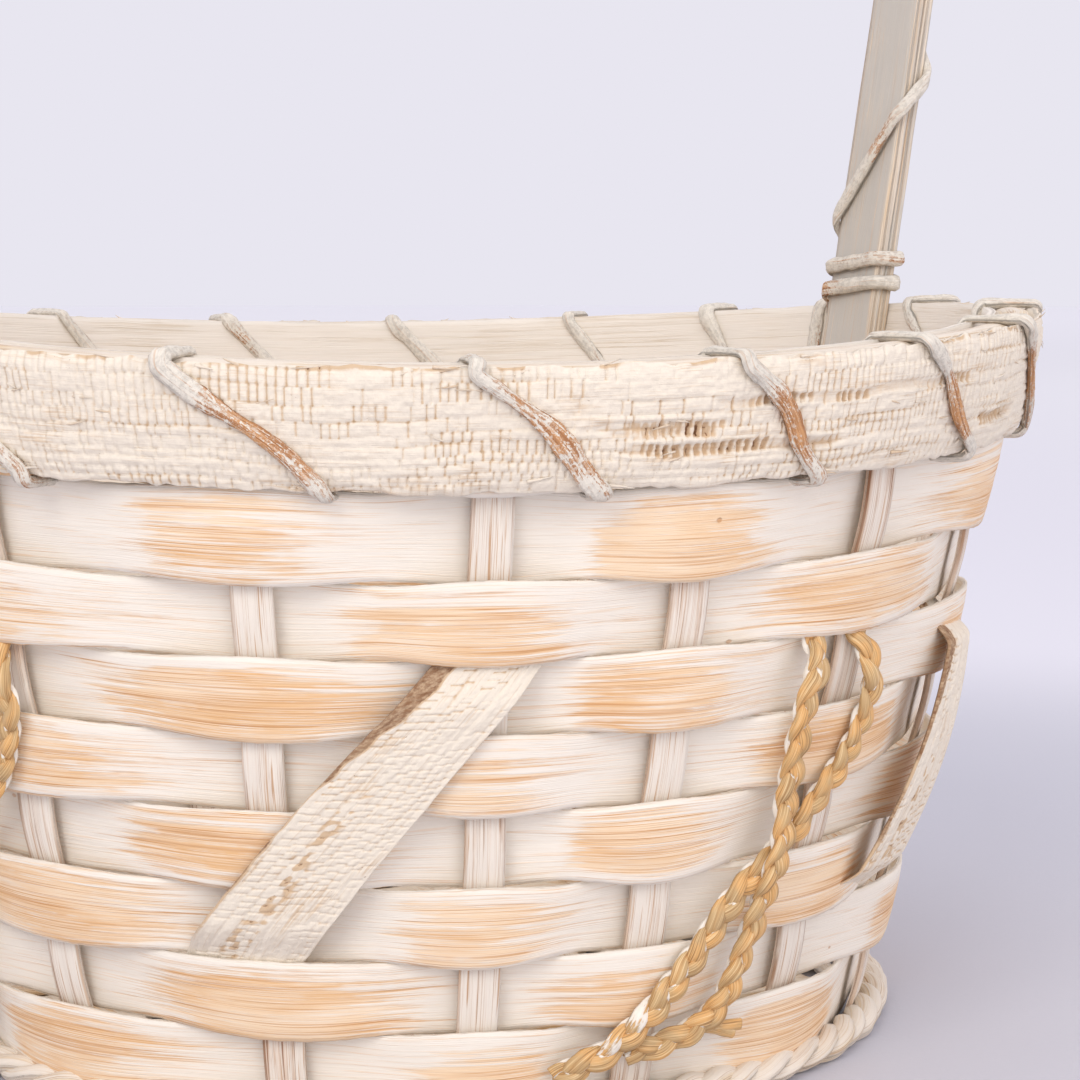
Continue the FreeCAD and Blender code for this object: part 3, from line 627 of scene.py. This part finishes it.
def resample(path, spacing, closed=False):
    """Even spacing along a polyline, Catmull-Rom smoothed."""
    source = np.concatenate([path, path[:1]]) if closed else path
    length = path_length(source)
    count = max(8, int(round(length[-1] / spacing)))
    at = np.linspace(0, length[-1], count, endpoint=not closed)
    if closed:
        ext = np.concatenate([path[-2:], path, path[:3]])
        ext_len = np.concatenate([length[-3:-1] - length[-1], length, length[-1] + length[1:3]])
    else:
        ext = np.concatenate([2 * path[:1] - path[1:2], path, 2 * path[-1:] - path[-2:-1]])
        ext_len = np.concatenate([[-length[1]], length, [2 * length[-1] - length[-2]]])
    k = np.clip(np.searchsorted(ext_len, at, side="right") - 1, 1, len(ext) - 3)
    t = ((at - ext_len[k]) / np.maximum(ext_len[k + 1] - ext_len[k], 1e-9))[:, None]
    p0, p1, p2, p3 = ext[k - 1], ext[k], ext[k + 1], ext[k + 2]
    return 0.5 * ((2 * p1) + (p2 - p0) * t + (2 * p0 - 5 * p1 + 4 * p2 - p3) * t ** 2
                  + (3 * p1 - p0 - 3 * p2 + p3) * t ** 3)


def cord_tube(name, path, outward, wide, thick, closed, material, nodes, seed, wear, corners=14,
              lumpy=0.12, tint=0.5, taper=0.0):
    """Flattened, ribbed vine round a path; outward points away from what it lies on."""
    across, up = frame_along(path, outward, closed)
    length = path_length(path)[:, None]
    spin = np.radians(np.arange(corners) * 360.0 / corners)[None, :]
    swell = 1 + lumpy * noise(length / 9.0, 0, seed) + 0.5 * lumpy * noise(length / 3.0, 4, seed + 1)
    ribs = (1 + 0.14 * noise(length / 12.0, spin * 2.4, seed + 2)
            + 0.08 * noise(length / 2.0, spin * 3, seed + 3) + 0.06 * noise(length / 0.9, spin * 4, seed + 4))
    if taper and not closed:
        end = np.minimum(length, length[-1:] - length)
        swell = swell * (0.35 + 0.65 * smooth(0, taper, end))
    x = wide / 2 * np.cos(spin) * swell * ribs
    y = thick / 2 * np.sin(spin) * swell * ribs
    points = around(path, across, up, x, y)
    uv = joined(length, spin * wide / 2)
    return grid_piece(name, points, uv, wear(length) + 0 * spin, closed, material, nodes, tint)


# --- rim lashing ---
LASH_TURNS = [
    (8.2, 17.0), (25.2, 34.3), (43.1, 54.0), (64.5, 74.8), (84.4, 97.5), (106.1, 121.2),
    (128.5, 139.8), (150.5, 161.8), (172.5, 188.0), (199.0, 211.7), (224.9, 236.6),
    (247.7, 257.6), (268.4, 276.9), (287.1, 297.6), (305.5, 318.5), (330.0, 337.0),
    (352.5, 368.0),
]


def rim_lashing():
    """One vine wound by hand: slants down the outer bark, ducks under, comes up inside."""
    stations, outs, rubs = [], [], []
    out, inside, high, low = 6.10, -6.10, HEIGHT + 0.35, RIM_BOTTOM - 0.55
    tops = [math.radians(t[0]) for t in LASH_TURNS] + [math.radians(LASH_TURNS[0][0]) + TURN]
    for turn, (_, under) in enumerate(LASH_TURNS):
        a, b, c = tops[turn], math.radians(under), tops[turn + 1]
        shade = float(hash01(turn, 3, 41))
        for t in np.linspace(0.05, 0.97, 9):
            sway = 0.010 * math.sin(TURN * t + turn)
            stations.append((a + (b - a) * t + sway, out + 0.2 * math.sin(math.pi * t),
                             high - 1.0 + (low + 1.3 - high + 1.0) * t))
            outs.append((1.0, 0.0))
            rubs.append(0.26 + (0.22 + 0.26 * shade) * (1 - (2 * t - 1.15) ** 2))
        stations += [(b, out - 0.5, low + 0.35), (b, out - 2.4, low), (b, 0.0, low), (b, inside + 1.6, low),
                     (b, inside + 0.3, low + 0.5)]
        outs += [(0.7, -0.7), (0.0, -1.0), (0.0, -1.0), (0.0, -1.0), (-0.7, -0.7)]
        rubs += [0.35, 0.2, 0.2, 0.2, 0.2]
        for t in np.linspace(0.08, 0.94, 7):
            stations.append((b + (c - b) * t, inside, low + 1.0 + (high - low - 2.0) * t))
            outs.append((-1.0, 0.0))
            rubs.append(0.18)
        stations += [(c, inside + 0.7, high - 0.2), (c, inside + 2.4, high + 0.05), (c, 0.0, high + 0.1),
                     (c, out - 2.2, high + 0.05), (c, out - 0.6, high - 0.25)]
        outs += [(-0.7, 0.7), (0.0, 1.0), (0.0, 1.0), (0.0, 1.0), (0.7, 0.7)]
        rubs += [0.12, 0.1, 0.1, 0.12, 0.2]
    stations, outs, rubs = np.array(stations), np.array(outs), np.array(rubs)
    path = wall_point(stations[:, 0], stations[:, 1], stations[:, 2])
    radial = radial_at(stations[:, 0])
    outward = radial * outs[:, :1] + np.array([[0.0, 0.0, 1.0]]) * outs[:, 1:]
    fine = resample(path, 0.55, True)
    length = path_length(np.concatenate([path, path[:1]]))
    at = np.linspace(0, length[-1], len(fine), endpoint=False)
    outward = np.concatenate([outward, outward[:1]])
    out_fine = np.stack([np.interp(at, length, outward[:, k]) for k in range(3)], -1)
    rub = np.interp(at, length, np.append(rubs, rubs[0]))

    def wear(along):
        return rub[:, None] + 0.18 * noise(along / 7.0, 0, 905)

    cord_tube("rim_vine", fine, out_fine, 2.95, 1.75, True, vine_wash, ["rim_lashing"], 900, wear,
              lumpy=0.26, tint=0.2, corners=18)


rim_lashing()


def wisps(name, material, spots, seed):
    """Fine loose fibres standing off the surface, joined in one piece."""
    rng = np.random.default_rng(seed)
    all_points, all_uv = [], []
    for angle, offset, level in spots:
        length = rng.uniform(1.6, 4.6)
        heading = rng.uniform(-0.5, 0.5) + (0 if rng.random() < 0.5 else math.pi)
        t = np.linspace(0, 1, 9)
        curl = rng.uniform(-0.6, 0.6)
        radius = wall_radius(level) + offset
        a = angle + t * length * math.cos(heading) / radius
        z = level + t * length * math.sin(heading) * 0.5 + curl * t ** 2 * 1.4
        off = offset - 0.35 + 0.9 * t * rng.uniform(0.2, 1.0)
        line = wall_point(a, off, z)
        radial = unit(radial_at(a))
        across, up = frame_along(line, radial, False)
        spin = np.radians(np.arange(6) * 60.0)[None, :]
        thick = rng.uniform(0.10, 0.22) * (1 - 0.75 * t)[:, None]
        all_points.append(around(line, across, up, thick * np.cos(spin) * 1.5, thick * np.sin(spin)))
        all_uv.append(joined(t[:, None] * length, spin * 0.3))
    pieces = [grid_piece("%s_%d" % (name, k), q, w, np.full(q.shape[:2], rng.uniform(0.0, 0.5)), False,
                         material, [], 0.5) for k, (q, w) in enumerate(zip(all_points, all_uv))]
    with bpy.context.temp_override(active_object=pieces[0], selected_editable_objects=pieces):
        bpy.ops.object.join()
    pieces[0].name = name


rng = np.random.default_rng(5)
edge_spots = [(rng.uniform(0, TURN), 5.0 + rng.uniform(-0.6, 0.2), HEIGHT - rng.uniform(0.2, 1.2))
              for _ in range(110)]
face_spots = [(rng.uniform(0, TURN), 5.75, HEIGHT - rng.uniform(3, 19)) for _ in range(120)]
low_spots = [(math.radians(t[1]) + rng.uniform(-0.015, 0.005), 6.2, RIM_BOTTOM + rng.uniform(0.2, 2.0))
             for t in LASH_TURNS for _ in range(3)]
wisps("rim_wisps", bark_paint, edge_spots + face_spots + low_spots, 8)


# --- slanting bark strips ---
STRIP_LANES = [0.9, 1.0, 1.1, 1.2, 1.4, 1.2, 1.1, 1.5, 1.6, 1.7, 1.3]
# upper end as a stake position, stake spacings back to the lower end, bulge off the wall
BARK_STRIPS = [(3.0, 1.16, 0.0), (7.0, 1.16, 0.0), (11.0, 1.16, 0.0), (13.88, 0.47, 3.0)]


def counted(angle):
    """Evenly counted angle whose place on the wall is the given real angle."""
    u = angle
    for _ in range(6):
        u = angle - (placed(u) - u)
    return u


def bark_strip(number, upper, back, bulge):
    """Strip whose ends are tucked under row 2 and row 7, riding over the rows between."""
    start, finish = float(placed(np.array(stake_u(upper)))), float(placed(np.array(stake_u(upper - back))))
    edge_high, edge_low = ROW_TOP - 2 * PITCH, ROW_TOP - 6 * PITCH
    over = 3.2
    count, face = 420, 71
    t = np.linspace(0, 1, count)[:, None]
    level = (edge_high + over) + (edge_low - edge_high - 2 * over) * t
    share = (edge_high - level) / (edge_high - edge_low)
    outline = np.concatenate([np.linspace(-1, 1, face), [1.0], np.linspace(1, -1, 8), [-1.0]])[None, :]
    under = np.concatenate([np.zeros(face), [0.5], np.ones(8), [0.5]])[None, :]
    seed = 600 + 31 * number
    mean = wall_radius((edge_high + edge_low) / 2)
    run, drop = (start - finish) * mean, edge_high - edge_low
    stretch = math.hypot(run, drop) / drop
    half = (6.5 + 2.3 * share) * stretch / mean
    length = t * math.hypot(run, drop + 2 * over)
    ragged = 0.02 * noise(length / 12, 1, seed) + 0.012 * noise(length / 2.2, outline, seed + 5)
    angle = start + (finish - start) * share - outline * half * (1 + ragged)
    # the ends dive under the rows that hold them
    row_wave = np.cos(STAKES / 2 * counted(angle))
    held = SWING * np.where(share < 0.5, -row_wave, row_wave) - 0.5 - 1.25
    tuck = smooth(0.15, -0.01, share) + smooth(0.86, 1.01, share)
    free = 3.45 + (0.45 + bulge) * np.sin(np.pi * np.clip(share, 0, 1))
    ride = free + (np.minimum(held, free) - free) * tuck
    relief, crack = bark_relief(length, outline * 7.0, STRIP_LANES, seed + 1, step=1.6)
    fade = 1 - smooth(0.9, 1.0, np.abs(outline))
    offset = np.where(under > 0, ride + 0.5 * (1 - under), ride + 0.95 + 0.60 * relief * fade
                      - 0.25 * outline ** 4)
    points = wall_point(angle, offset, level + 0 * outline)
    reach = 0.50 + 0.42 * smooth(0.05, 0.45, t) + 0.04 * noise(length / 3, 2, seed + 8)
    bare_edge = smooth(reach, reach + 0.07, outline) * smooth(1.0, 0.7, t)
    seam = smooth(0.30, 0.05, np.abs(outline - 0.22 + 0.1 * noise(length / 14, 0, seed + 9)))
    seam = seam * smooth(0.30, 0.60, t) * smooth(-0.1, 0.5, noise(length / 1.1, outline * 9, seed + 10))
    face_wear = np.clip(crack * fade + 0.80 * seam, 0, 0.95)
    wear = np.maximum(np.where(under > 0, 0.62, face_wear), 0.95 * bare_edge)
    uv = joined(length, outline * 7.0 + 20 * (under > 0.6))
    grid_piece("slant_bark_%d" % number, points[:, ::-1], uv[:, ::-1], wear[:, ::-1], False,
               bark_paint, ["bark_strip_%d" % number], 0.2 * number - 0.07)


for number, (upper, back, bulge) in enumerate(BARK_STRIPS, start=1):
    bark_strip(number, upper, back, bulge)


# --- braids ---
BRAID = [
    (-1.54, 7.62, -1.8), (-1.43, 7.50, -0.6), (-1.22, 7.25, 0.1), (-1.00, 6.82, 0.1), (-0.79, 6.20, 0.1),
    (-0.59, 5.42, 0.1), (-0.38, 4.88, 0.0), (-0.17, 4.22, 0.0), (-0.02, 3.62, 0.1), (0.05, 2.95, 0.1),
    (0.04, 2.58, 0.0), (0.02, 2.30, -1.2), (0.00, 2.06, -3.7), (-0.03, 1.86, -4.9), (-0.13, 1.74, -5.1),
    (-0.22, 1.86, -4.9), (-0.262, 2.06, -3.7), (-0.28, 2.28, -1.2), (-0.31, 2.52, 0.0), (-0.34, 2.80, 0.1),
    (-0.355, 3.55, 0.1), (-0.37, 4.10, 0.5), (-0.385, 4.50, 1.8), (-0.405, 4.86, 2.3), (-0.42, 5.22, 1.8),
    (-0.43, 5.60, 0.6), (-0.45, 6.00, 0.1), (-0.50, 6.50, 0.1), (-0.59, 6.96, 0.1), (-0.76, 7.20, 0.0),
    (-0.97, 7.34, -0.5), (-1.10, 7.36, -1.4),
]


def braid(number):
    """Three plies plaited round one course, each a flattened bundle of straw."""
    first = 5 + 4 * number
    course = np.array(BRAID)
    angle = placed(stake_u(first) + TURN / STAKES * course[:, 0])
    level = ROW_TOP - course[:, 1] * PITCH
    path = resample(wall_point(angle, 4.75 + course[:, 2], level), 0.28)
    radial = unit(np.stack([path[:, 0], path[:, 1], 0 * path[:, 0]], -1))
    across, up = frame_along(path, radial, False)
    length = path_length(path)[:, None]
    total = length[-1, 0]
    lay = 17.0
    for ply in range(3):
        seed = 800 + 40 * number + 7 * ply
        turn = TURN * (length / lay + ply / 3.0) + 0.35 * noise(length / 17, 3, 800 + 40 * number)
        side = 1.22 * np.sin(turn) * (1 + 0.10 * noise(length / 9, 1, seed))
        rise = 0.62 * np.sin(2 * turn)
        line = path + across * side + up * rise
        tangent = unit(np.gradient(line, axis=0))
        flat = unit(np.cross(up, tangent))
        top = unit(np.cross(tangent, flat))
        spin = np.radians(np.arange(16) * 22.5)[None, :]
        end = np.minimum(length, total - length)
        fat = (1 + 0.16 * noise(length / 5, 0, seed)) * (0.75 + 0.25 * smooth(0, 3, end))
        ribs = 1 + 0.09 * np.cos(spin * 5 + 3 * noise(length / 9, 0, seed + 3))
        leaf = 0.80 + 0.28 * smooth(-0.5, 0.9, np.sin(2 * turn))
        x = 1.36 * np.cos(spin) * fat * ribs * leaf
        y = 0.84 * np.sin(spin) * fat * ribs * leaf * (1 + 0.12 * noise(length / 6, spin * 3, seed + 1))
        points = around(line, flat, top, x, y)
        same = np.sum(flat * across, axis=-1, keepdims=True)
        inner = smooth(0.35, 0.95, -np.cos(spin) * same * side / 1.2)
        crease = 0.90 * smooth(0.22, -0.42, rise + y) + 0.85 * inner
        wear = crease + 0.40 * noise(length / 9, 2, seed + 2) + 0.35 * smooth(0.55, 0.9, noise(
            length / 21, 7, 810 + 40 * number))
        uv = joined(length, spin * 1.3)
        grid_piece("straw_ply_%d_%d" % (number + 1, ply + 1), points, uv, wear, False,
                   straw_gold, ["braid_loop_%d" % (number + 1)] if ply == 0 else [],
                   0.1 + 0.21 * number + 0.07 * ply)
    # cut ends of the plies sticking out below the bend
    base_angle = float(placed(stake_u(first) + TURN / STAKES * -0.66))
    for stub in range(2):
        t = np.linspace(0, 1, 24)
        spread = (-0.3 + 0.9 * stub)
        a = base_angle + math.radians(1.0) + t * math.radians(4.2 - 0.8 * stub)
        z = ROW_TOP - 7.12 * PITCH - 0.6 - t * (1.1 + spread * 1.6)
        line = wall_point(a, 4.6 + 0.5 * t, z)
        radial = unit(np.stack([line[:, 0], line[:, 1], 0 * t], -1))
        cord_tube("straw_stub_%d_%d" % (number + 1, stub + 1), line, radial, 2.0, 1.1, False,
                  straw_gold, [], 990 + stub + 5 * number, lambda along: 0.25 + 0 * along, corners=10,
                  lumpy=0.08, tint=0.3 + 0.2 * stub)


for number in range(4):
    braid(number)


# --- foot rings and base ---
def foot_rope(name, radius, nodes, seed, tint, wide, tall, height, plies=3):
    """Rolled border of twisted splint lying flat on the table."""
    count = 1100
    a = TURN * np.arange(count) / count
    turns = round(TURN * radius / 24.0)
    for ply in range(plies):
        turn = a * turns + TURN * ply / plies + 0.5 * noise(a * 24 / TURN, 0, seed, 24)
        r = radius + 0.40 * (wide - 2.6) * np.cos(turn)
        z = height / 2 + 0.40 * (height - 2.6) * np.sin(turn)
        line = np.stack([r * np.cos(a), r * np.sin(a), z], -1)
        spin = np.radians(np.arange(18) * 20.0)[None, :]
        length = (a * radius)[:, None]
        swell = 1 + 0.14 * noise(a[:, None] * 48 / TURN, 0, seed + ply, 48)
        swell = swell * (1 + 0.07 * noise(length / 9, spin * 2.5, seed + 2)
                         + 0.05 * noise(length / 1.5, spin * 3, seed + 3))
        radial = radial_at(a)
        x = wide / 2 * 0.66 * np.cos(spin) * swell
        y = tall / 2 * 0.66 * np.sin(spin) * swell
        up = np.array([0.0, 0.0, 1.0])
        points = line[:, None, :] + radial[:, None, :] * x[..., None] + up * y[..., None]
        points[..., 2] = np.maximum(points[..., 2], 0.03)
        uv = joined(length, spin * 1.5)
        wear = 0.30 + 0.30 * noise(length / 14, spin, seed + 4)
        grid_piece("%s_%d" % (name, ply + 1), points, uv, wear, True, reed_paint,
                   nodes if ply == 0 else [], tint + 0.1 * ply)


foot_rope("foot_border_outer", 90.2, ["foot_ring_outer"], 1000, 0.35, 6.0, 5.0, 5.6)
foot_rope("foot_border_inner", 83.0, ["foot_ring_inner"], 1020, 0.55, 4.0, 3.6, 3.9)


def base_splint(way, n):
    """Splint of the woven bottom; level over each crossing, stepping down between them."""
    place = (n - 3) * CROSSING
    side = (1 if n % 2 == 0 else -1) * (1 if way == "x" else -1)
    end = math.sqrt(83.4 ** 2 - (abs(place) + 8.75) ** 2)
    x = np.linspace(-end, end, max(60, int(end)))[:, None]
    crossing = x / CROSSING
    wave = -np.cos(np.pi * crossing)
    swing = 0.62 * side * np.clip(wave * 2.6, -1, 1)
    v, through = strip_outline(13)
    seed = 1100 + 13 * n + (0 if way == "x" else 200)
    wide = 8.9 + 0.25 * noise(x / 12, 0, seed)
    z = 5.25 + swing + through * 0.42 + 0.05 * noise(x / 16, v * 6, seed + 1)
    points = joined(x, place + v * wide, z)
    if way == "y":
        points = np.stack([-points[..., 1], points[..., 0], points[..., 2]], -1)
    wear = 0.25 + 0.3 * noise(x / 15, v * 2, seed + 2) + 0.25 * np.abs(wave)
    uv = joined(x, v * 8.9 + 25 * (through < 0))
    grid_piece("bottom_%s%d" % (way, n + 1), points, uv, wear, False, base_paint,
               ["base_splint_%s%d" % (way, n + 1)], 0.07 + 0.13 * n)


for way in ("x", "y"):
    for n in range(7):
        base_splint(way, n)

# --- handle ---
LEAN = math.radians(9.5)
ARCH, ARCH_LEVEL, FOOT_LEVEL = 121.0, 224.8, 108.0
LEG = (ARCH_LEVEL - FOOT_LEVEL) / math.cos(LEAN) - ARCH * math.tan(LEAN)
RUN = 2 * LEG + ARCH * (math.pi + 2 * LEAN)


SIDEWAYS = np.array([0.0, -1.0, 0.0])


def handle_line(run):
    """Middle line by length from the right foot: point, direction and outward."""
    run = np.asarray(run, float)
    angle = np.clip((run - LEG) / ARCH - LEAN, -LEAN, math.pi + LEAN)
    outward = np.stack([np.cos(angle), 0 * angle, np.sin(angle)], -1)
    ahead = np.stack([-np.sin(angle), 0 * angle, np.cos(angle)], -1)
    extra = np.where(run < LEG, run - LEG, np.where(run > RUN - LEG, run - (RUN - LEG), 0.0))
    point = np.array([0.0, 0.0, ARCH_LEVEL]) + outward * ARCH + ahead * extra[..., None]
    return point, ahead, outward


def handle_strip(name, middle, nodes, seed, tint):
    count = 520
    run = np.linspace(0, RUN, count)
    point, ahead, outward = handle_line(run)
    v, through = strip_outline(15, 3)
    length = run[:, None]
    half = 8.0 - 0.20 + 0.18 * noise(length / 30, 0, seed)
    across = v * half + 0.12 * noise(length / 40, 5, seed + 1)
    depth = (middle + through * (1.0 - 0.10 * np.abs(v) ** 4) + 0.06 * noise(length / 20, v * 5, seed + 2)
             + 0.10 * noise(length / 9, v * 1.5, seed + 3))
    depth = np.clip(depth, middle - 1.12, middle + 1.12)
    # the layers are pressed shut at the legs and open a little further up
    shut = smooth(95, 60, length) + smooth(RUN - 95, RUN - 60, length)
    facing = -np.sign(middle)
    depth = depth + 0.16 * facing * shut * (through * facing > 0)
    points = point[:, None, :] + SIDEWAYS * across[..., None] + outward[:, None, :] * depth[..., None]
    edge = np.abs(v) > 0.97
    wear = 0.16 + 0.42 * edge + 0.16 * noise(length / 25, v * 1.5, seed + 4)
    uv = joined(length, v * 8 + 25 * (through < 0) + 1.5 * through)
    grid_piece(name, points, uv, wear, False, handle_paint_painted_shade, nodes, tint)


handle_strip("hoop_inner", -1.2, ["handle_inner_strip"], 1400, 0.27)
handle_strip("hoop_outer", 1.2, ["handle_outer_strip"], 1440, 0.77)


def corner_walk(wide, deep, corner, turns):
    """Point and heading after some turns round a rounded rectangle."""
    side, face, bend = 2 * (deep - corner), 2 * (wide - corner), corner * math.pi / 2
    walk = (turns % 1.0) * 2 * (side + face + 2 * bend) + side / 2
    x, y, heading = wide, -(deep - corner), 0.0
    for length in (side, face, side, face, side):
        straight = min(walk, length)
        x -= math.sin(heading) * straight
        y += math.cos(heading) * straight
        walk -= straight
        if walk <= 0:
            break
        swing = min(walk, bend) / corner
        hub = (x - corner * math.cos(heading), y - corner * math.sin(heading))
        heading += swing
        x, y = hub[0] + corner * math.cos(heading), hub[1] + corner * math.sin(heading)
        walk -= swing * corner
        if walk <= 0:
            break
    return x, y, heading


def handle_vine(name, course, nodes, seed, tint, wide=3.1, thick=1.9, taper=6.0):
    """Vine through (length along the handle, turns round it) stations."""
    path, outs = [], []
    for (run_a, turn_a), (run_b, turn_b) in zip(course, course[1:]):
        steps = max(6, int(40 * abs(turn_b - turn_a)))
        for k in range(steps):
            part = k / steps
            run, turns = run_a + (run_b - run_a) * part, turn_a + (turn_b - turn_a) * part
            point, ahead, outward = handle_line(run)
            x, y, heading = corner_walk(8.0 + 0.95, 2.3 + 0.95, 1.7, turns)
            path.append(point + SIDEWAYS * x + outward * y)
            outs.append(SIDEWAYS * math.cos(heading) + outward * math.sin(heading))
    path, outs = np.array(path), np.array(outs)
    fine = resample(path, 0.6)
    length, fine_length = path_length(path), path_length(fine)
    at = fine_length * length[-1] / fine_length[-1]
    out_fine = np.stack([np.interp(at, length, outs[:, k]) for k in range(3)], -1)

    def wear(along):
        return 0.26 + 0.34 * noise(along / 13.0, 0, seed + 5)

    cord_tube(name, fine, out_fine, wide, thick, False, vine_wash, nodes, seed, wear,
              lumpy=0.15, tint=tint, taper=taper)


COIL = (136.6 - FOOT_LEVEL) / math.cos(LEAN)
COIL_END = COIL + 8.5
handle_vine("coil_right", [(COIL - 9.0, 0.5), (COIL - 1.5, 0.5), (COIL, 0.56), (COIL_END, 2.26)],
            ["handle_coil_right"], 1500, 0.15)
handle_vine("coil_left", [(RUN - COIL_END, 0.24), (RUN - COIL, 1.94), (RUN - COIL + 1.5, 2.0),
                          (RUN - COIL + 9.0, 2.0)], ["handle_coil_left"], 1530, 0.35)
handle_vine("hoop_vine", [(COIL_END + 2.5, 0.5), (RUN - COIL_END - 6.5, 9.1)], ["handle_spiral"], 1560, 0.6,
            wide=2.9, thick=1.8)


# --- floor and light ---
def floor():
    size, rings, spokes = 6.0, 60, 96
    radius = np.concatenate([[0.0], np.geomspace(0.02, size, rings)])
    a = np.linspace(0, TURN, spokes, endpoint=False)
    mesh = bpy.data.meshes.new("floor")
    verts = [(0.0, 0.0, 0.0)] + [(r * math.cos(t), r * math.sin(t), 0.0) for r in radius[1:] for t in a]
    faces = [(0, 1 + k, 1 + (k + 1) % spokes) for k in range(spokes)]
    for ring in range(rings - 1):
        for k in range(spokes):
            low = 1 + ring * spokes
            faces.append((low + k, low + spokes + k, low + spokes + (k + 1) % spokes, low + (k + 1) % spokes))
    mesh.from_pydata(verts, [], faces)
    piece = new_object("floor", mesh)
    s = Shader("floor_paper_painted_shade")
    place = s.place()
    far = s.node("ShaderNodeVectorMath", {0: place}, operation="LENGTH").outputs["Value"]
    tooth = s.noise(place, 900.0, 3.0, 0.6)
    # painted shade and light: the floor is painted darker within about 0.4 m of the basket and paler further
    # out, up to near white far away, standing in for a shaded floor meeting a brightly lit backdrop
    colour = s.mix(s.ramp(far, 0.30, 0.52), srgb(198, 197, 205), srgb(222, 220, 227))
    colour = s.mix(s.ramp(far, 0.7, 2.6), colour, srgb(240, 239, 242))
    colour = s.mix(s.ramp(far, 2.4, 5.2), colour, srgb(252, 251, 254))
    colour = s.mix(s.mul(tooth, 0.05), colour, srgb(255, 255, 255))
    s.finish(colour, 0.75, tooth, 0.05)
    mesh.materials.append(s.mat)


floor()


def area_light(name, place, target, size, power, colour):
    data = bpy.data.lights.new(name, "AREA")
    data.shape, data.size, data.energy, data.color = "DISK", size, power, colour
    lamp = new_object(name, data)
    lamp.location = place
    lamp.rotation_euler = (Vector(target) - Vector(place)).to_track_quat("-Z", "Y").to_euler()


area_light("key", (-1.9, -1.5, 1.7), (0, 0, 0.08), 1.5, 30.0, (1.0, 0.985, 0.95))
area_light("front", (-0.3, -2.6, 0.85), (0, 0, 0.07), 2.4, 17.5, (1.0, 0.985, 0.96))
area_light("fill", (1.8, -1.7, 1.05), (0, 0, 0.08), 2.1, 7.0, (1.0, 0.96, 0.97))
area_light("top", (0.1, 0.3, 2.6), (0, 0, 0.1), 2.3, 8.5, (1.0, 1.0, 1.0))
world = bpy.data.worlds.new("studio")
world.use_nodes = True
world.node_tree.nodes["Background"].inputs[0].default_value = srgb(232, 230, 240)
world.node_tree.nodes["Background"].inputs[1].default_value = 1.0
bpy.context.scene.world = world
bpy.context.scene.view_settings.view_transform = "Standard"
